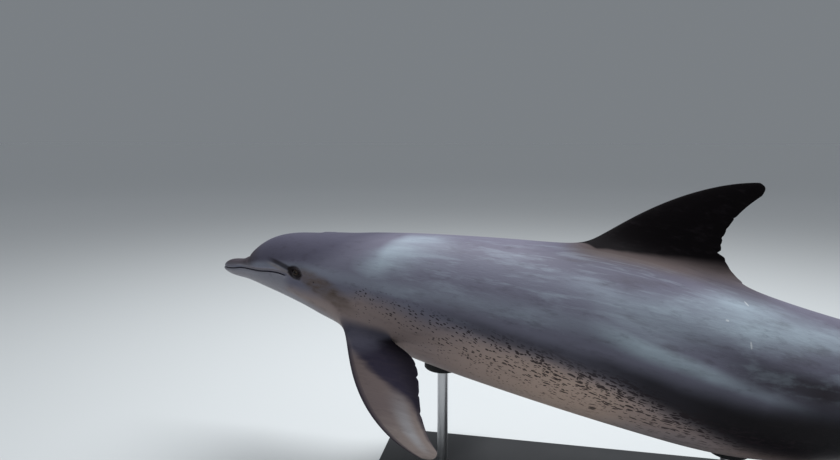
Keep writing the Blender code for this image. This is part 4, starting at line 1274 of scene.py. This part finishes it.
def flange_parts(low, high):
    middle = (low + high) / 2
    rim = (high.x - low.x) / 2
    foot, top = low.z, high.z
    shoulder = foot + FLANGE_RIM
    profile = (
        (rim - FLANGE_FOOT, foot), (rim, foot + FLANGE_FOOT),
        (rim, shoulder - FLANGE_EDGE), (rim - FLANGE_EDGE, shoulder),
        (COLLAR_RADIUS + COLLAR_FILLET[0], shoulder),
        (COLLAR_RADIUS + COLLAR_FILLET[1], shoulder + COLLAR_EDGE),
        (COLLAR_RADIUS, top - COLLAR_EDGE), (COLLAR_RADIUS - COLLAR_EDGE, top),
    )
    parts = [turned(profile, middle)]
    for k in range(4):
        turn = math.radians(45 + 90 * k)
        place = middle + Vector((math.cos(turn), math.sin(turn), 0)) * SCREW_CIRCLE
        parts.append(screw_part(place, shoulder - SCREW_SEAT))
    return parts


def screw_part(place, seat):
    """A button head with a hexagon socket, closed at the socket's floor."""
    profile = [(share * SCREW_RADIUS, seat + height) for share, height in SCREW_HEAD]
    points, faces = turned(profile, place, SCREW_SIDES)
    faces.pop()
    for height in (SCREW_HEAD[-1][1], SOCKET_FLOOR):
        outer = len(points) - SCREW_SIDES
        for c in range(SCREW_SIDES):
            turn = 2 * math.pi * c / SCREW_SIDES
            corner = math.cos((turn + math.pi / 6) % (math.pi / 3) - math.pi / 6)
            reach = SCREW_RADIUS * SOCKET_REACH * math.cos(math.pi / 6) / corner
            points.append((place.x + reach * math.cos(turn), place.y + reach * math.sin(turn), seat + height))
        faces += ring_quads(outer, outer + SCREW_SIDES, SCREW_SIDES)
    faces.append(tuple(range(len(points) - SCREW_SIDES, len(points))))
    return points, faces


def rod_part(low, high):
    radius = (high.x - low.x) / 2
    end = radius - ROD_CHAMFER
    profile = ((end, low.z), (radius, low.z + ROD_CHAMFER), (radius, high.z - ROD_CHAMFER), (end, high.z))
    return turned(profile, (low + high) / 2)


def brushed_steel(name, grain):
    """Stainless steel with fine scratches. The grain is how far they run on each axis, in metres."""
    material, shader, at = new_material(name, Metallic=1.0)
    place = at.of("ShaderNodeTexCoord", "Object")
    scratches = place.stretched(1 / grain[0], 1 / grain[1], 1 / grain[2]).noise(1.0, 4.0, 0.7)
    smudges = place.noise(22.0, 3.0)
    colour = at.blend(STEEL_DARK, STEEL_LIGHT, scratches)
    roughness = 0.22 + 0.18 * scratches + 0.10 * (smudges - 0.5)
    drive(at, shader, Base_Color=colour, Roughness=roughness, Normal=at.bump(scratches, 0.0002, 0.25))
    return material


rod_steel = brushed_steel("rod_steel", (0.0007, 0.0007, 0.09))
flange_steel = brushed_steel("flange_steel", (0.006, 0.0008, 0.006))
for end in ("front", "rear"):
    flange_node, rod_node = "stand_flange_" + end, "stand_rod_" + end
    flange_mesh = solid_mesh("flange", flange_parts(*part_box(flange_node)))
    rod_mesh = solid_mesh("rod", [rod_part(*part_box(rod_node))])
    flange = add_piece("flange_" + end, flange_mesh, flange_steel)
    rod = add_piece("rod_" + end, rod_mesh, rod_steel)
    for made, node in ((flange, flange_node), (rod, rod_node)):
        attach(made, "root")
        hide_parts(node)


# ---- The stand: its saddles ----
# Round pads of soft black rubber, moulded to the belly and bonded to the tops of the rods.

SADDLE_PLAY = 0.0004  # between the rubber and the skin
SADDLE_HEIGHT = 0.030
SADDLE_ROUND = 0.0025  # of the edges
RUBBER, DUST = (0.014, 0.014, 0.015, 1), (0.030, 0.030, 0.030, 1)


def saddle_part(low, high, over, sides=96, rings=14):
    """A disc whose upper face follows the underside of the object over it."""
    middle = (low + high) / 2
    rim = (high.x - low.x) / 2
    foot = low.z
    bpy.context.view_layer.update()

    def top(radius, c):
        turn = 2 * math.pi * c / sides
        start = Vector((middle.x + radius * math.cos(turn), middle.y + radius * math.sin(turn), foot))
        found, hit, _, _ = over.ray_cast(start, Vector((0, 0, 1)))
        level = foot + SADDLE_HEIGHT
        return Vector((start.x, start.y, min(hit.z - SADDLE_PLAY, level) if found else level))

    outer = rim - SADDLE_ROUND
    rows = [[top(outer * k / rings, c) for c in range(sides)] for k in range(1, rings + 1)]
    for share in (0.5, 1.0):
        row = []
        for c in range(sides):
            edge = top(outer + SADDLE_ROUND * math.sin(share * math.pi / 2), c)
            edge.z -= SADDLE_ROUND * (1 - math.cos(share * math.pi / 2))
            row.append(edge)
        rows.append(row)
    rows.append([Vector((p.x, p.y, foot + SADDLE_ROUND)) for p in rows[-1]])
    inset = (rim - SADDLE_ROUND) / rim
    rows.append([Vector((*(middle.xy + (p.xy - middle.xy) * inset), foot)) for p in rows[-1]])
    points = [top(0.0, 0)] + [p for row in rows for p in row]
    faces = [(0, 1 + c, 1 + (c + 1) % sides) for c in range(sides)]
    for r in range(len(rows) - 1):
        faces += ring_quads(1 + (r + 1) * sides, 1 + r * sides, sides)
    faces.append(tuple(len(points) - 1 - c for c in range(sides)))
    return [tuple(p) for p in points], faces


def rubber():
    material, shader, at = new_material("saddle_rubber", Specular_IOR_Level=0.3)
    place = at.of("ShaderNodeTexCoord", "Object")
    mould = place.noise(300.0, 3.0)
    dust = place.noise(16.0, 4.0)
    colour = at.blend(RUBBER, DUST, dust.ramp(0.45, 0.75))
    drive(at, shader, Base_Color=colour, Roughness=0.62 + 0.2 * dust, Normal=at.bump(mould, 0.0004, 0.4))
    return material


saddle_rubber = rubber()
for end in ("front", "rear"):
    node = "stand_saddle_" + end
    saddle = add_piece("pad_" + end, solid_mesh("pad", [saddle_part(*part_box(node), skin)]), saddle_rubber)
    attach(saddle, "root")
    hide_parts(node)


# ---- The floor, the lights and the sky ----
# A pale matt floor that reaches far beyond the model and pales with distance, a broad soft lamp overhead, a
# faint one in front, and an even grey sky.

FLOOR_REACH, FLOOR_DROP = 90, 0.0005
FLOOR_NEAR, FLOOR_FAR = (0.62, 0.63, 0.63, 1), (1, 1, 1, 1)
SKY, SKY_STRENGTH = (0.70, 0.76, 0.82, 1), 0.28

floor_mesh = bpy.data.meshes.new("floor")
corners = [(x * FLOOR_REACH, y * FLOOR_REACH, 0) for x, y in ((-1, -1), (1, -1), (1, 1), (-1, 1))]
floor_mesh.from_pydata(corners, [], [(0, 1, 2, 3)])
floor_material, floor_shader, at = new_material("floor", Roughness=0.7, Specular_IOR_Level=0.1)
reach = at.of("ShaderNodeTexCoord", "Object").length()
drive(at, floor_shader, Base_Color=at.blend(FLOOR_NEAR, FLOOR_FAR, reach.ramp(1.5, 9.0)))
floor = add_piece("floor", floor_mesh, floor_material)
floor.location.z = -FLOOR_DROP


def area_light(name, place, target, size, power, colour):
    data = bpy.data.lights.new(name, "AREA")
    data.shape = "RECTANGLE"
    data.size, data.size_y = size
    data.energy = power
    data.color = colour
    made = bpy.data.objects.new(name, data)
    made.location = place
    made.rotation_euler = (Vector(target) - Vector(place)).to_track_quat("-Z", "Y").to_euler()
    bpy.context.scene.collection.objects.link(made)


area_light("key_light", (0.1, 0.9, 3.6), (0.1, 0.0, 0.4), (3.4, 2.0), 190, (0.93, 0.97, 1.0))
area_light("front_light", (-2.4, -2.6, 2.4), (-0.5, 0.0, 0.5), (2.0, 2.0), 8, (0.95, 0.97, 1.0))
world = bpy.data.worlds.new("studio")
bpy.context.scene.world = world
world.use_nodes = True
sky = world.node_tree.nodes["Background"]
sky.inputs["Color"].default_value = SKY
sky.inputs["Strength"].default_value = SKY_STRENGTH
bpy.context.scene.view_settings.view_transform = "Standard"
